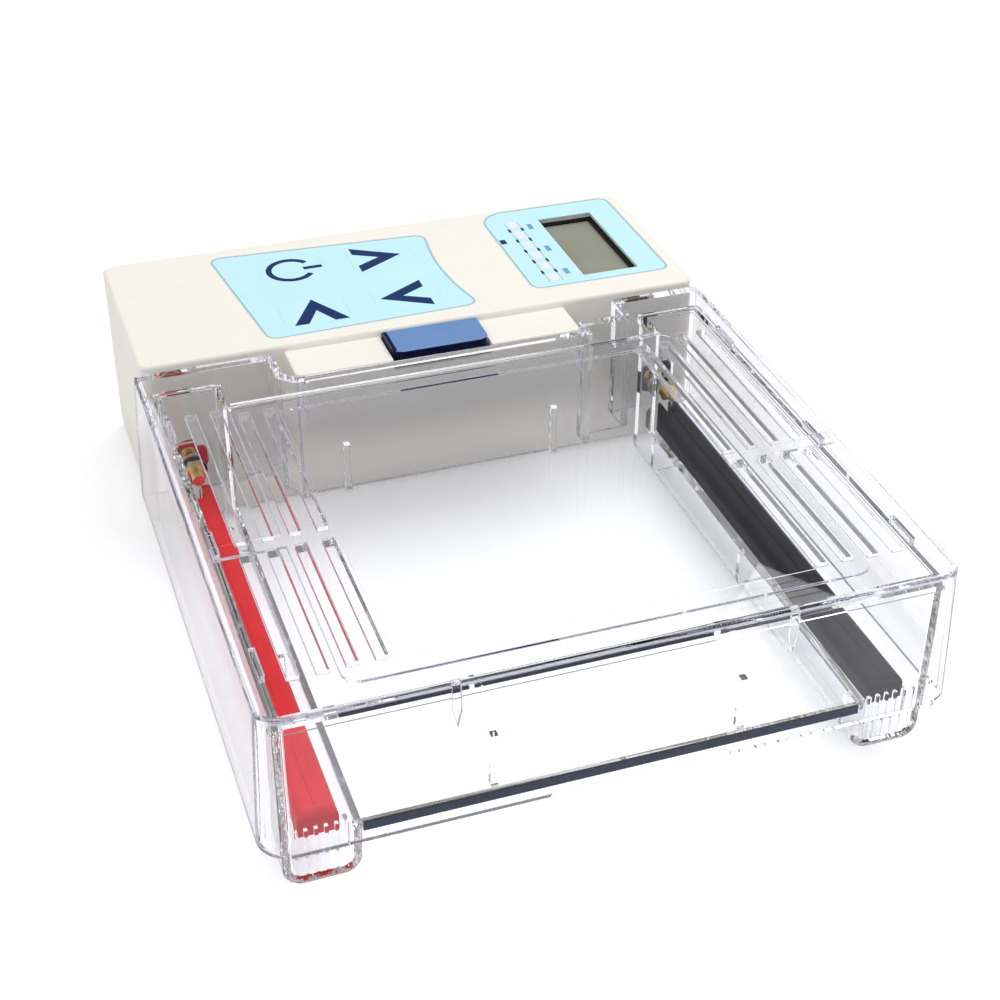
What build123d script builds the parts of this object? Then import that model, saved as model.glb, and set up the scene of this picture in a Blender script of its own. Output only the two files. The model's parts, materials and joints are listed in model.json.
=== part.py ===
from build123d import *
import math
import os

# A compact gel electrophoresis system. A clear buffer tank under a clear lift-off lid
# plugs into a power supply, which has a keypad and a display on its top.
# Millimetres. X runs to the right, Y to the back and Z up. The origin is the middle of
# the whole footprint, on the surface that the object stands on.

# Lid
lid_width = 200.0
lid_depth = 179.8
lid_height = 45.4
lid_flare = 2.0
lid_wall = 2.2
lid_roof = 2.4
lid_corner = 9.0
lid_edge_round = 1.6
field_width = 151.0
field_front = 8.0
field_depth = 142.0
field_corner = 5.0
field_rise = 0.8
window_width = 121.0
window_front = 14.0
window_depth = 129.0
slit_width = 3.4
slit_pitch = 7.9
slit_distance = 63.5
slits_per_side = 4
slit_front = 16.0
slit_length = 55.0
cross_bar = 6.0
rear_slit_length = 73.0
rear_slit_short = 5.0
cross_bar_end = 96.0
guide_rib_place = 48.0
guide_rib_width = 2.4
guide_rib_height = 13.0
guide_rib_depth = 0.8
stop_rib_size = 1.6
stop_rib_length = 12.0

# Tank
foot_drop = 17.0
tank_wall = 2.2
lid_to_tank_gap = 2.0
rim_drop = 2.6
rim_bead = 0.8
rim_bead_height = 2.0
platform_height = 19.4
platform_thickness = 2.6
trough_width = 22.0
trough_bottom_round = 5.5
tank_corner = 1.6
hollow_corner = 0.8
trough_rib_count = 6
trough_rib_pitch = 2.8
trough_rib_width = 1.0
trough_rib_depth = 1.2
terminal_room = 5.6
tray_rib_place = 36.5
tray_rib_width = 2.0
tray_rib_depth = 2.4
tray_rib_height = 18.0
strip_height = 3.3
strip_depth = 1.4
strip_drop = 0.8
web_thickness = 2.0
web_height = 13.6
front_web_gap = 8.0
rear_web_gap = 15.0

# Electrodes
guard_width = 11.6
guard_height = 8.0
guard_wall = 1.5
guard_round = 3.0
guard_ridge = 0.6
guard_end_gap = 4.0
wire_slot_width = 3.0
wire_radius = 0.25
wire_bend = 3.0
pin_radius = 2.0
pin_height = 28.0
pin_reach = 16.0
pin_tail = 7.1
pin_flange_radius = 4.0
pin_flange_thickness = 1.5
seal_thickness = 1.0
pin_nut_width = 7.0
pin_nut_thickness = 3.2
socket_play = 0.05
sleeve_wall = 1.1
sleeve_tail = 2.4
sleeve_end = 1.6
sleeve_recess = 0.5
bush_radius = 5.0
bush_flange_radius = 6.5
bush_flange_thickness = 1.2
bush_end = 1.0
socket_nut_width = 13.0
socket_nut_thickness = 3.0
lead_radius = 1.1
lead_bend = 7.0
lead_reach = 9.0
pin_slot_half = 6.0

# Power supply
docking_gap = 0.4
case_inset = 1.8
case_depth = 76.6
case_step = 2.3
case_wall = 2.2
case_corner = 4.0
case_edge_round = 1.5
floor_vent_count = 7
floor_vent_pitch = 8.0
floor_vent_width = 3.0
floor_vent_front = 24.0
floor_vent_length = 30.0
case_lift = 3.0
split_height = 38.0
lip_height = 2.0
lip_thickness = 1.0
nose_left = 50.0
nose_right = 49.0
nose_depth = 16.9
nose_gap = 0.8
nose_bottom = 40.0
notch_left = 54.0
notch_right = 66.7
notch_right_step = 6.0
notch_chamfer = 4.0

# Keypad and display
film_thickness = 0.5
film_slit = 0.15
key_travel = 0.4
key_width = 23.0
key_depth = 21.0
key_corner = 5.0
key_stem_radius = 3.0
key_stem_play = 0.5
key_columns = (-34.5, -1.5)
key_rows = (21.0, 52.5)
film_front = 5.0
film_front_left = 53.8
film_front_right = 21.6
film_front_slope = 2.3
film_waist = 35.0
film_waist_right = 16.6
film_rear = 70.3
film_rear_left = 61.3
film_rear_right = 19.0
film_rear_slope = 5.2
film_corner = 4.0
lamp_count = 6
lamp_pitch = 8.8
lamp_length = 6.0
lamp_width = 3.4
lamp_inset = 10.0
lamp_front_step = 2.0
display_side_gap = 4.2
display_width = 52.0
display_front = 11.0
display_back = 74.0
display_corner = 4.0
display_big_corner = 10.0
screen_side_gap = 10.5
screen_width = 20.8
screen_front = 16.0
screen_back = 63.5
screen_border = 3.7
screen_lip = 0.9
screen_lip_thickness = 0.7
glass_thickness = 1.2

# Boards and what they carry
board_thickness = 1.6
control_board_drop = 6.5
control_board_left = 60.0
control_board_side_gap = 11.2
control_post_radius = 2.8
control_post_inset = 4.0
main_board_side_gap = 10.8
board_front_room = 8.1
board_rear_room = 3.0
board_post_inset = 8.0
board_post_front_inset = 22.0
board_post_rear_inset = 15.0
standoff_height = 3.8
standoff_radius = 3.2
dome_radius = 4.5
dome_height = 0.6
ribbon_width = 25.0
ribbon_thickness = 1.0
ribbon_bend = 6.0
ribbon_low_place = 29.0
ribbon_high_place = 38.0
connector_depth = 5.0
connector_height = 7.0
connector_end = 2.0
chip_place = 20.5
chip_depth_place = 40.0
chip_size = 14.0
chip_height = 1.6
buzzer_depth_place = 58.0
buzzer_radius = 6.0
buzzer_height = 6.5
buzzer_hole_radius = 1.2
buzzer_hole_depth = 2.5

# Power parts on the main board
transformer_place = 26.0
transformer_depth_place = 50.0
core_width = 34.0
core_depth = 14.0
core_height = 28.5
core_limb = 5.0
core_post_width = 11.0
core_window_height = 18.5
winding_gap = 0.2
winding_depth = 26.0
winding_corner = 4.0
winding_base = 1.5
winding_base_width = 28.0
winding_base_depth = 24.0
winding_leg_width = 22.0
capacitor_board_inset = 30.4
capacitor_front = 38.0
capacitor_pitch = 20.0
capacitor_radius = 8.0
capacitor_height = 30.0
capacitor_round = 1.2
sink_place = 6.0
sink_front = 38.0
sink_length = 24.0
sink_height = 32.0
sink_plate = 3.0
sink_depth = 14.0
fin_count = 6
fin_first_height = 4.0
fin_top_gap = 1.6
fin_thickness = 1.4
transistor_pitch = 12.0
transistor_width = 10.0
transistor_thickness = 4.5
transistor_height = 16.0
transistor_leg = 10.0
transistor_leg_width = 6.0
transistor_leg_thickness = 1.0
fuse_place = 30.0
fuse_depth_place = 24.0
fuse_length = 20.0
fuse_radius = 2.6
fuse_lift = 5.0
clip_width = 5.0
clip_depth = 6.8
clip_pitch = 15.0
clip_rise = 1.5

# Latch
latch_width = 33.6
latch_thickness = 4.0
latch_side_gap = 0.4
latch_corner = 4.0
latch_arm_width = 24.0
latch_arm_thickness = 4.0
latch_pivot_back = 9.8
latch_pivot_radius = 3.0
latch_end_gap = 0.8
latch_front_gap = 0.7
latch_edge_round = 0.6
latch_room_below = 3.4
ear_gap = 0.4
ear_thickness = 2.6
ear_depth = 6.8
latch_pin_radius = 1.2
latch_press_angle = 6.0
spring_radius = 3.0
spring_wire = 0.35
spring_turns = 5
spring_step = 12.0
spring_post_height = 3.8
switch_step = 1.0
switch_width = 6.4
switch_front = 7.0
switch_back = 5.0
switch_height = 9.0
plunger_radius = 1.0
plunger_play = 0.1
plunger_depth = 3.5
plunger_bottom_gap = 1.7
plunger_top_gap = 0.1

# Mains inlet
inlet_place = 50.0
inlet_width = 28.0
inlet_tall = 22.4
inlet_deep = 20.6
inlet_cavity_width = 24.6
inlet_cavity_tall = 16.6
inlet_cavity_deep = 16.0
inlet_cavity_chamfer = 5.0
inlet_sink = 0.2
inlet_slack = 0.1
blade_width = 2.0
blade_tall = 4.0
blade_spread = 7.0
blade_offset = 4.0
blade_tail = 4.0
blade_drop = 3.0

# Fasteners and feet
screw_radius = 1.5
screw_head_radius = 2.9
screw_head_height = 2.2
boss_radius = 3.6
fit = 0.05
foot_radius = 6.0
foot_plug_radius = 2.5
foot_plug_height = 1.8
foot_side_inset = 18.0
foot_front_inset = 17.0
foot_rear_inset = 11.0
front_screw_inset = 14.8
screw_seat_drop = 10.0
screw_reach = 11.0
seat_gap = 0.2

# Places that follow from the sizes above
overall_depth = lid_flare + lid_depth + docking_gap + case_depth
lid_front = lid_flare - overall_depth / 2
lid_rear = lid_front + lid_depth
lid_bottom = foot_drop
lid_top = lid_bottom + lid_height
lid_taper = math.degrees(math.atan(lid_flare / lid_height))
case_front = lid_rear + docking_gap
case_rear = case_front + case_depth
case_top = lid_top + case_step
case_half = lid_width / 2 - case_inset
case_roof = case_top - case_wall
nose_front = case_front - nose_depth
notch_front = nose_front - nose_gap
tank_half = lid_width / 2 - lid_wall - lid_to_tank_gap
tank_front = lid_front + lid_wall + lid_to_tank_gap
tank_rear = notch_front - lid_wall - lid_to_tank_gap
trough_rear = lid_rear - lid_wall - terminal_room
rim = lid_top - lid_roof - rim_drop
trough_inner_edge = tank_half - trough_width
trough_middle = tank_half - trough_width / 2
control_board_top = case_roof - control_board_drop
control_board_right = case_half - control_board_side_gap
main_board_half = case_half - main_board_side_gap
display_right = case_half - display_side_gap
display_left = display_right - display_width
screen_right = display_right - screen_side_gap
screen_left = screen_right - screen_width
lamp_column = display_left + lamp_inset
board_front = case_front + case_wall + board_front_room
board_rear = case_rear - case_wall - board_rear_room
case_floor = case_lift + case_wall
main_board_bottom = case_floor + standoff_height
main_board_top = main_board_bottom + board_thickness
latch_top = case_top - 0.3
latch_bottom = latch_top - latch_thickness
latch_pivot_y = case_front + latch_pivot_back
latch_pivot_z = case_roof - latch_pivot_radius + 0.1


def block(x, y, z):
    """A box from its low and high edge along each axis."""
    middle = [(low + high) / 2 for low, high in (x, y, z)]
    size = [high - low for low, high in (x, y, z)]
    return Pos(*middle) * Box(*size)


def post(x, y, radius, low, high):
    """An upright cylinder."""
    return Pos(x, y, (low + high) / 2) * Cylinder(radius, high - low)


def rod_along_y(x, z, radius, front, rear):
    """A cylinder that runs from front to rear."""
    return Pos(x, (front + rear) / 2, z) * Rot(90, 0, 0) * Cylinder(radius, rear - front)


def rod_along_x(y, z, radius, left, right):
    """A cylinder that runs from left to right."""
    return Pos((left + right) / 2, y, z) * Rot(0, 90, 0) * Cylinder(radius, right - left)


def uprights(solid):
    """The edges that run straight up."""
    return solid.edges().filter_by(Axis.Z)


def mirrored(side, x):
    """An x range on the left (-1) or right (+1) side, lowest first."""
    return tuple(sorted((side * x[0], side * x[1])))


def lid_block(inset, low, high):
    """The flared outline of the lid, drawn in by inset and cut square at the rear."""
    low_inset = inset - lid_flare * (lid_top - low) / lid_height
    half = lid_width / 2 - low_inset
    front = lid_front + low_inset
    rear = lid_rear - inset
    outline = Pos(0, (front + rear + 20) / 2) * Rectangle(2 * half, rear + 20 - front)
    corner = max(lid_corner - inset, 1.0)
    outline = fillet(outline.vertices().group_by(Axis.Y)[0], corner)
    solid = extrude(Pos(0, 0, low) * outline, high - low, taper=lid_taper)
    return solid - block((-half - 5, half + 5), (rear, rear + 30), (low - 1, high + 1))


def notch_outline():
    """The plan of the gap at the lid's rear that clears the nose of the power supply."""
    behind = lid_rear + 30
    points = [
        (-notch_left, behind),
        (-notch_left, notch_front + notch_chamfer),
        (-nose_left, notch_front),
        (nose_right + nose_gap, notch_front),
        (nose_right + nose_gap, notch_front + notch_right_step),
        (notch_right, notch_front + notch_right_step),
        (notch_right, behind),
    ]
    return make_face(Polyline(*points, close=True))


def slit_places():
    """Centre and rear shortening of each row of slits, from the middle outwards."""
    places = []
    for index in range(slits_per_side):
        inner = index < slits_per_side / 2
        places.append((slit_distance + index * slit_pitch, rear_slit_short if inner else 0.0))
    return places


def make_lid():
    outer = lid_block(0.0, lid_bottom, lid_top)
    roof_edges = outer.edges().group_by(Axis.Z)[-1].sort_by(Axis.Y)[:-1]
    outer = fillet(roof_edges, lid_edge_round)
    notch = Pos(0, 0, lid_bottom - 5) * notch_outline()
    outer -= extrude(notch, lid_height + 10)
    inner = lid_block(lid_wall, lid_bottom - 1, lid_top - lid_roof)
    wide_notch = Pos(0, 0, lid_bottom - 5) * offset(notch_outline(), lid_wall, kind=Kind.INTERSECTION)
    inner -= extrude(wide_notch, lid_height + 10)
    lid = outer - inner

    field = block(
        (-field_width / 2, field_width / 2),
        (lid_front + field_front, lid_front + field_front + field_depth),
        (lid_top - 0.5, lid_top + field_rise),
    )
    field = fillet(uprights(field), field_corner)
    window = block(
        (-window_width / 2, window_width / 2),
        (lid_front + window_front, lid_front + window_front + window_depth),
        (lid_top, lid_top + field_rise + 1),
    )
    lid += field - window
    bar_front = lid_front + slit_front + slit_length
    for side in (-1, 1):
        bar_x = mirrored(side, (window_width / 2, cross_bar_end))
        lid += block(bar_x, (bar_front, bar_front + cross_bar), (lid_top - 0.5, lid_top + field_rise))
        for place, short in slit_places():
            slit_x = mirrored(side, (place - slit_width / 2, place + slit_width / 2))
            through = (lid_top - lid_roof - 1, lid_top + field_rise + 1)
            lid -= block(slit_x, (lid_front + slit_front, bar_front), through)
            rear_start = bar_front + cross_bar
            lid -= block(slit_x, (rear_start, rear_start + rear_slit_length - short), through)
        lid += guide_rib(side, True)
        lid += guide_rib(side, False)
        for y in stop_rib_places():
            rib_x = mirrored(side, (tank_half - tank_wall, tank_half - tank_wall + stop_rib_size))
            rib_z = (rim + seat_gap, lid_top - lid_roof + 0.3)
            lid += block(rib_x, (y - stop_rib_length / 2, y + stop_rib_length / 2), rib_z)
        slot_x = mirrored(side, (trough_middle - pin_slot_half, trough_middle + pin_slot_half))
        slot_z = (lid_bottom - 1, pin_height + pin_slot_half)
        lid -= block(slot_x, (lid_rear - lid_wall - 1, lid_rear + 1), slot_z)
    return lid


def stop_rib_places():
    """Where the lid rests on the rim of the tank, along each side."""
    return (tank_front + 22, (tank_front + tank_rear) / 2, tank_rear - 12)


def guide_rib(side, at_front):
    """A pointed upright rib inside the lid that centres it on the tank."""
    top = lid_top - lid_roof + 0.2
    low = top - guide_rib_height
    half = guide_rib_width / 2
    outline = Polyline((-half, top), (-half, low + 5), (0, low), (half, low + 5), (half, top), close=True)
    middle = side * guide_rib_place
    if at_front:
        tip = lid_front + lid_wall + guide_rib_depth
        start = lid_front + 0.9
    else:
        tip = notch_front - lid_wall - guide_rib_depth
        start = notch_front - 0.5
    face = Plane(origin=(middle, start, 0), x_dir=(1, 0, 0), z_dir=(0, -1, 0)) * make_face(outline)
    return extrude(face, start - tip)


def make_tank():
    side_x = (-tank_half, tank_half)
    tub = block(side_x, (tank_front, tank_rear), (platform_height - platform_thickness, rim))
    tub = fillet(uprights(tub).group_by(Axis.Y)[0], tank_corner)
    bead_z = (rim - rim_bead_height, rim)
    wide_x = (-tank_half - rim_bead, tank_half + rim_bead)
    bead = block(wide_x, (tank_front - rim_bead, tank_rear + rim_bead), bead_z)
    tank = tub + fillet(uprights(bead).group_by(Axis.Y)[0], tank_corner + rim_bead)
    for side in (-1, 1):
        trough_x = mirrored(side, (trough_inner_edge, tank_half))
        tank += trough_block(trough_x, (tank_front, trough_rear), 0, rim, trough_bottom_round, tank_corner)
        bead_x = mirrored(side, (trough_inner_edge - rim_bead, tank_half + rim_bead))
        bead = block(bead_x, (tank_front - rim_bead, trough_rear + rim_bead), bead_z)
        tank += fillet(uprights(bead), tank_corner + rim_bead)

    above = rim + 5
    tub_x = (-tank_half + tank_wall, tank_half - tank_wall)
    tub_y = (tank_front + tank_wall, tank_rear - tank_wall)
    hollow = block(tub_x, tub_y, (platform_height, above))
    tank -= fillet(uprights(hollow).group_by(Axis.Y)[0], hollow_corner)
    for side in (-1, 1):
        hollow_x = mirrored(side, (trough_inner_edge + tank_wall, tank_half - tank_wall))
        hollow_y = (tank_front + tank_wall, trough_rear - tank_wall)
        inner_round = trough_bottom_round - tank_wall
        tank -= trough_block(hollow_x, hollow_y, tank_wall, above, inner_round, hollow_corner)

    for side in (-1, 1):
        web_x = mirrored(side, (trough_inner_edge + tank_wall - 0.4, tank_half - tank_wall + 0.4))
        for y in web_places():
            web_y = (y - web_thickness / 2, y + web_thickness / 2)
            tank += block(web_x, web_y, (tank_wall - 0.4, web_height))
        for place in trough_rib_places():
            rib_middle = side * (trough_middle + place)
            front_rib_x = (rib_middle - trough_rib_width / 2, rib_middle + trough_rib_width / 2)
            front_rib_y = (tank_front + tank_wall - 0.4, tank_front + tank_wall + trough_rib_depth)
            tank += block(front_rib_x, front_rib_y, (tank_wall - 0.4, platform_height))
        rib_x = mirrored(side, (tray_rib_place - tray_rib_width / 2, tray_rib_place + tray_rib_width / 2))
        rib_z = (platform_height - 0.4, platform_height + tray_rib_height)
        front_face = tank_front + tank_wall
        rear_face = tank_rear - tank_wall
        tank += block(rib_x, (front_face - 0.4, front_face + tray_rib_depth), rib_z)
        tank += block(rib_x, (rear_face - tray_rib_depth, rear_face + 0.4), rib_z)
        tank -= rod_along_y(
            side * trough_middle, pin_height, pin_radius + fit, trough_rear - tank_wall - 1, trough_rear + 1
        )
    strip_x = (-trough_inner_edge, trough_inner_edge)
    tank -= block(strip_x, (tank_front - 2, tank_front + strip_depth), (0, strip_top()))
    return tank


def trough_block(x, y, bottom, top, bottom_round, corner):
    """A bar with a rounded keel, and with small rounds where its sides meet its ends."""
    bar = block(x, y, (bottom, top))
    bar = fillet(bar.edges().filter_by(Axis.Y).group_by(Axis.Z)[0], bottom_round)
    ends = [edge for face in bar.faces().filter_by(Axis.Y) for edge in face.edges()]
    return fillet([edge for edge in ends if edge.center().Z < top - 0.1], corner)


def trough_rib_places():
    """The upright ribs on the front wall of a trough, from its middle."""
    half = (trough_rib_count - 1) / 2
    return [(index - half) * trough_rib_pitch for index in range(trough_rib_count)]


def strip_top():
    """The height of the shoulder that the dark front strip is fixed under."""
    return platform_height - strip_drop


def web_places():
    """Where the cross webs in each trough carry the electrode guard."""
    first = tank_front + tank_wall + front_web_gap
    last = trough_rear - tank_wall - rear_web_gap
    return (first, (first + last) / 2, last)


def make_front_strip():
    strip = block(
        (-trough_inner_edge + seat_gap, trough_inner_edge - seat_gap),
        (tank_front, tank_front + strip_depth),
        (strip_top() - strip_height, strip_top()),
    )
    return fillet(strip.edges().filter_by(Axis.X).group_by(Axis.Z)[0].sort_by(Axis.Y)[0], 0.8)


def make_guard(side):
    """A channel with rounded shoulders over the electrode wire, notched where the wire leaves it."""
    front = tank_front + tank_wall + guard_end_gap
    rear = trough_rear - tank_wall - seat_gap
    half = guard_width / 2
    crown = web_height + guard_height
    channel = block((-half, half), (front, rear), (web_height, crown))
    shoulders = channel.edges().filter_by(Axis.Y).group_by(Axis.Z)[-1]
    front_crown = channel.edges().filter_by(Axis.X).group_by(Axis.Z)[-1].sort_by(Axis.Y)[0]
    channel = fillet(list(shoulders) + [front_crown], guard_round)
    slot_front = wire_turn() - wire_slot_width / 2
    ridge_x = (-guard_ridge / 2, guard_ridge / 2)
    ridge_y = (front + guard_round, slot_front - 1)
    ridge = block(ridge_x, ridge_y, (crown - 0.5, crown + guard_ridge / 2))
    hollow_half = half - guard_wall
    hollow_y = (front + guard_wall, rear - guard_wall)
    hollow = block((-hollow_half, hollow_half), hollow_y, (web_height - 1, crown - guard_wall))
    hollow_shoulders = hollow.edges().filter_by(Axis.Y).group_by(Axis.Z)[-1]
    hollow = fillet(hollow_shoulders, guard_round - guard_wall)
    slot_x = (-wire_slot_width / 2, wire_slot_width / 2)
    slot = block(slot_x, (slot_front, rear + 1), (web_height - 1, crown + 1))
    return Pos(side * trough_middle, 0, 0) * (channel + ridge - hollow - slot)


def wire_turn():
    """Where the electrode wire turns up towards the terminal pin."""
    return trough_rear - tank_wall - pin_tail + 1.0


def make_wire(side):
    """The platinum wire: along the trough on its webs, then up to the terminal pin."""
    x = side * trough_middle
    height = web_height + wire_radius + 0.02
    front = tank_front + tank_wall + guard_end_gap + guard_wall
    turn = wire_turn()
    top = pin_height - pin_radius - 0.02
    path = FilletPolyline((x, front, height), (x, turn, height), (x, turn, top), radius=wire_bend)
    section = Plane(origin=(x, front, height), z_dir=(0, 1, 0)) * Circle(wire_radius)
    return sweep(section, path=path)


def make_terminal_pin(side):
    """The plug pin, screwed through the rear wall of the trough."""
    x = side * trough_middle
    flange_front = trough_rear + seal_thickness
    tip = case_front + pin_reach
    pin = rod_along_y(x, pin_height, pin_radius, trough_rear - tank_wall - pin_tail, tip)
    pin = fillet(pin.edges().group_by(Axis.Y)[-1], pin_radius * 0.6)
    return pin + rod_along_y(x, pin_height, pin_flange_radius, flange_front, flange_front + pin_flange_thickness)


def make_pin_seal(side):
    x = side * trough_middle
    ring = rod_along_y(x, pin_height, pin_flange_radius + 0.4, trough_rear, trough_rear + seal_thickness)
    return ring - rod_along_y(x, pin_height, pin_radius + fit, trough_rear - 1, trough_rear + 3)


def hex_nut(x, z, across, bore, front, rear):
    """A hexagonal nut on an axis that runs from front to rear."""
    outline = Plane(origin=(x, front, z), x_dir=(1, 0, 0), z_dir=(0, 1, 0)) * RegularPolygon(
        across / 2, 6, major_radius=False
    )
    return extrude(outline, rear - front) - rod_along_y(x, z, bore, front - 1, rear + 1)


def make_pin_nut(side):
    rear = trough_rear - tank_wall
    front = rear - pin_nut_thickness
    return hex_nut(side * trough_middle, pin_height, pin_nut_width, pin_radius + fit, front, rear)


def socket_front():
    """The front face of the socket bushes, sunk level with the case."""
    return case_front


def make_socket_bush(side):
    x = side * trough_middle
    flange_rear = socket_front() + bush_flange_thickness
    flange = rod_along_y(x, pin_height, bush_flange_radius, socket_front(), flange_rear)
    body = rod_along_y(x, pin_height, bush_radius, socket_front(), case_front + pin_reach - bush_end)
    return flange + body - rod_along_y(x, pin_height, sleeve_radius(), case_front - 1, case_front + pin_reach)


def sleeve_radius():
    """The outside of the brass socket sleeve."""
    return pin_radius + socket_play + sleeve_wall


def make_socket_sleeve(side):
    x = side * trough_middle
    tail = case_front + pin_reach + sleeve_tail
    sleeve = rod_along_y(x, pin_height, sleeve_radius(), socket_front() + sleeve_recess, tail)
    return sleeve - rod_along_y(x, pin_height, pin_radius + socket_play, case_front - 1, tail - sleeve_end)


def make_socket_nut(side):
    front = case_front + case_wall
    rear = front + socket_nut_thickness
    return hex_nut(side * trough_middle, pin_height, socket_nut_width, bush_radius + fit, front, rear)


def make_output_lead(side):
    """The insulated lead from a socket sleeve down to the main board."""
    x = side * trough_middle
    start = case_front + pin_reach + sleeve_tail
    turn = start + lead_reach
    points = [(x, start, pin_height), (x, turn, pin_height), (x, turn, main_board_top)]
    path = FilletPolyline(*points, radius=lead_bend)
    section = Plane(origin=points[0], z_dir=(0, 1, 0)) * Circle(lead_radius)
    return sweep(section, path=path)


def case_screw_places():
    """The four case screws: two behind the front wall and two in the rear corners."""
    front = case_front + case_wall + boss_radius + 0.2
    rear = case_rear - case_wall - boss_radius - 0.2
    rear_x = case_half - case_wall - boss_radius - 0.4
    front_x = trough_middle - front_screw_inset
    return [(-front_x, front), (front_x, front), (-rear_x, rear), (rear_x, rear)]


def foot_places():
    x = case_half - foot_side_inset
    rows = (case_front + foot_front_inset, case_rear - foot_rear_inset)
    return [(side * x, y) for side in (-1, 1) for y in rows]


def board_post_places():
    x = main_board_half - board_post_inset
    rows = (board_front + board_post_front_inset, board_rear - board_post_rear_inset)
    return [(side * x, y) for side in (-1, 1) for y in rows]


def inlet_bottom():
    """The inlet stands on the main board."""
    return main_board_top


def make_lower_case():
    side_x = (-case_half, case_half)
    shell = block(side_x, (case_front, case_rear), (case_lift, split_height))
    shell = fillet(uprights(shell), case_corner)
    shell = fillet(shell.edges().group_by(Axis.Z)[0], case_edge_round)
    inner_x = (-case_half + case_wall, case_half - case_wall)
    inner_y = (case_front + case_wall, case_rear - case_wall)
    hollow = block(inner_x, inner_y, (case_floor, split_height + 5))
    hollow = fillet(uprights(hollow), case_corner - case_wall)
    lip_grow = lip_thickness
    lip_x = (inner_x[0] - lip_grow, inner_x[1] + lip_grow)
    lip_y = (inner_y[0] - lip_grow, inner_y[1] + lip_grow)
    lip = block(lip_x, lip_y, (split_height - 1, split_height + lip_height))
    lip = fillet(uprights(lip), case_corner - case_wall + lip_grow)
    shell = shell + lip - hollow
    for x, y in case_screw_places():
        shell += post(x, y, boss_radius, case_floor - 0.5, split_height)
        shell -= post(x, y, screw_head_radius + 0.3, case_lift - 1, screw_seat())
        shell -= post(x, y, screw_radius + 0.2, screw_seat() - 1, split_height + 1)
    for x, y in board_post_places():
        shell += post(x, y, standoff_radius, case_floor - 0.5, main_board_bottom)
        shell -= post(x, y, screw_radius - 0.4, case_floor, main_board_bottom + 1)
    for x, y in foot_places():
        shell -= post(x, y, foot_plug_radius + fit, case_lift - 1, case_lift + foot_plug_height)
    vent_start = case_front + floor_vent_front
    for index in range(floor_vent_count):
        vent_x = (index - (floor_vent_count - 1) / 2) * floor_vent_pitch
        vent_sides = (vent_x - floor_vent_width / 2, vent_x + floor_vent_width / 2)
        shell -= block(vent_sides, (vent_start, vent_start + floor_vent_length), (0, case_floor + 1))
    for side in (-1, 1):
        x = side * trough_middle
        shell -= rod_along_y(x, pin_height, bush_radius + fit, case_front - 1, case_front + case_wall + 1)
        flange_seat = case_front + bush_flange_thickness
        shell -= rod_along_y(x, pin_height, bush_flange_radius + fit, case_front - 1, flange_seat)
    inlet_half = inlet_width / 2 + inlet_slack
    inlet_x = (inlet_place - inlet_half, inlet_place + inlet_half)
    inlet_z = (inlet_bottom() - inlet_slack, inlet_bottom() + inlet_tall + inlet_slack)
    shell -= block(inlet_x, (case_rear - case_wall - 1, case_rear + 1), inlet_z)
    return shell


def screw_seat():
    """The height at which the heads of the case screws bear."""
    return split_height - screw_seat_drop


def keypad_film_outline():
    """The light film: its left edge leans, and its right edge is drawn in."""
    front_left = (-film_front_left, case_front + film_front)
    front_right = (film_front_right, case_front + film_front + film_front_slope)
    waist = (film_waist_right, case_front + film_waist)
    rear_right = (film_rear_right, case_front + film_rear - film_rear_slope)
    rear_left = (-film_rear_left, case_front + film_rear)
    left = Line(rear_left, front_left)
    front = Line(front_left, front_right)
    right = ThreePointArc(front_right, waist, rear_right)
    rear = Line(rear_right, rear_left)
    outline = make_face([left, front, right, rear])
    return fillet(outline.vertices(), film_corner)


def key_outline(column, row):
    outline = RectangleRounded(key_width, key_depth, key_corner)
    return Pos(key_columns[column], case_front + key_rows[row], 0) * outline


def all_keys():
    """Column and row of the four keys."""
    return [(column, row) for column in range(len(key_columns)) for row in range(len(key_rows))]


def display_outline():
    low_y = case_front + display_front
    high_y = case_front + display_back
    middle = ((display_left + display_right) / 2, (low_y + high_y) / 2)
    outline = Pos(*middle) * Rectangle(display_right - display_left, high_y - low_y)
    big = outline.vertices().group_by(Axis.Y)[-1].sort_by(Axis.X)[0]
    rest = [vertex for vertex in outline.vertices() if (vertex.center() - big.center()).length > 1]
    outline = fillet(rest, display_corner)
    corner = outline.vertices().sort_by_distance((display_left, high_y, 0))[0]
    return fillet(corner, display_big_corner)


def lamp_places():
    first = case_front + screen_front + lamp_front_step
    return [(lamp_column, first + index * lamp_pitch) for index in range(lamp_count)]


def screen_window(grow, low, high):
    x = (screen_left - grow, screen_right + grow)
    y = (case_front + screen_front - grow, case_front + screen_back + grow)
    return block(x, y, (low, high))


def control_post_places():
    rear = board_rear - control_post_inset
    front = board_front + control_post_inset
    left = -control_board_left + control_post_inset
    middle = (lamp_column + key_columns[-1] + key_width / 2) / 2 - 3
    return [(left, front), (left, rear), (middle, front), (middle, rear)]


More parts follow.
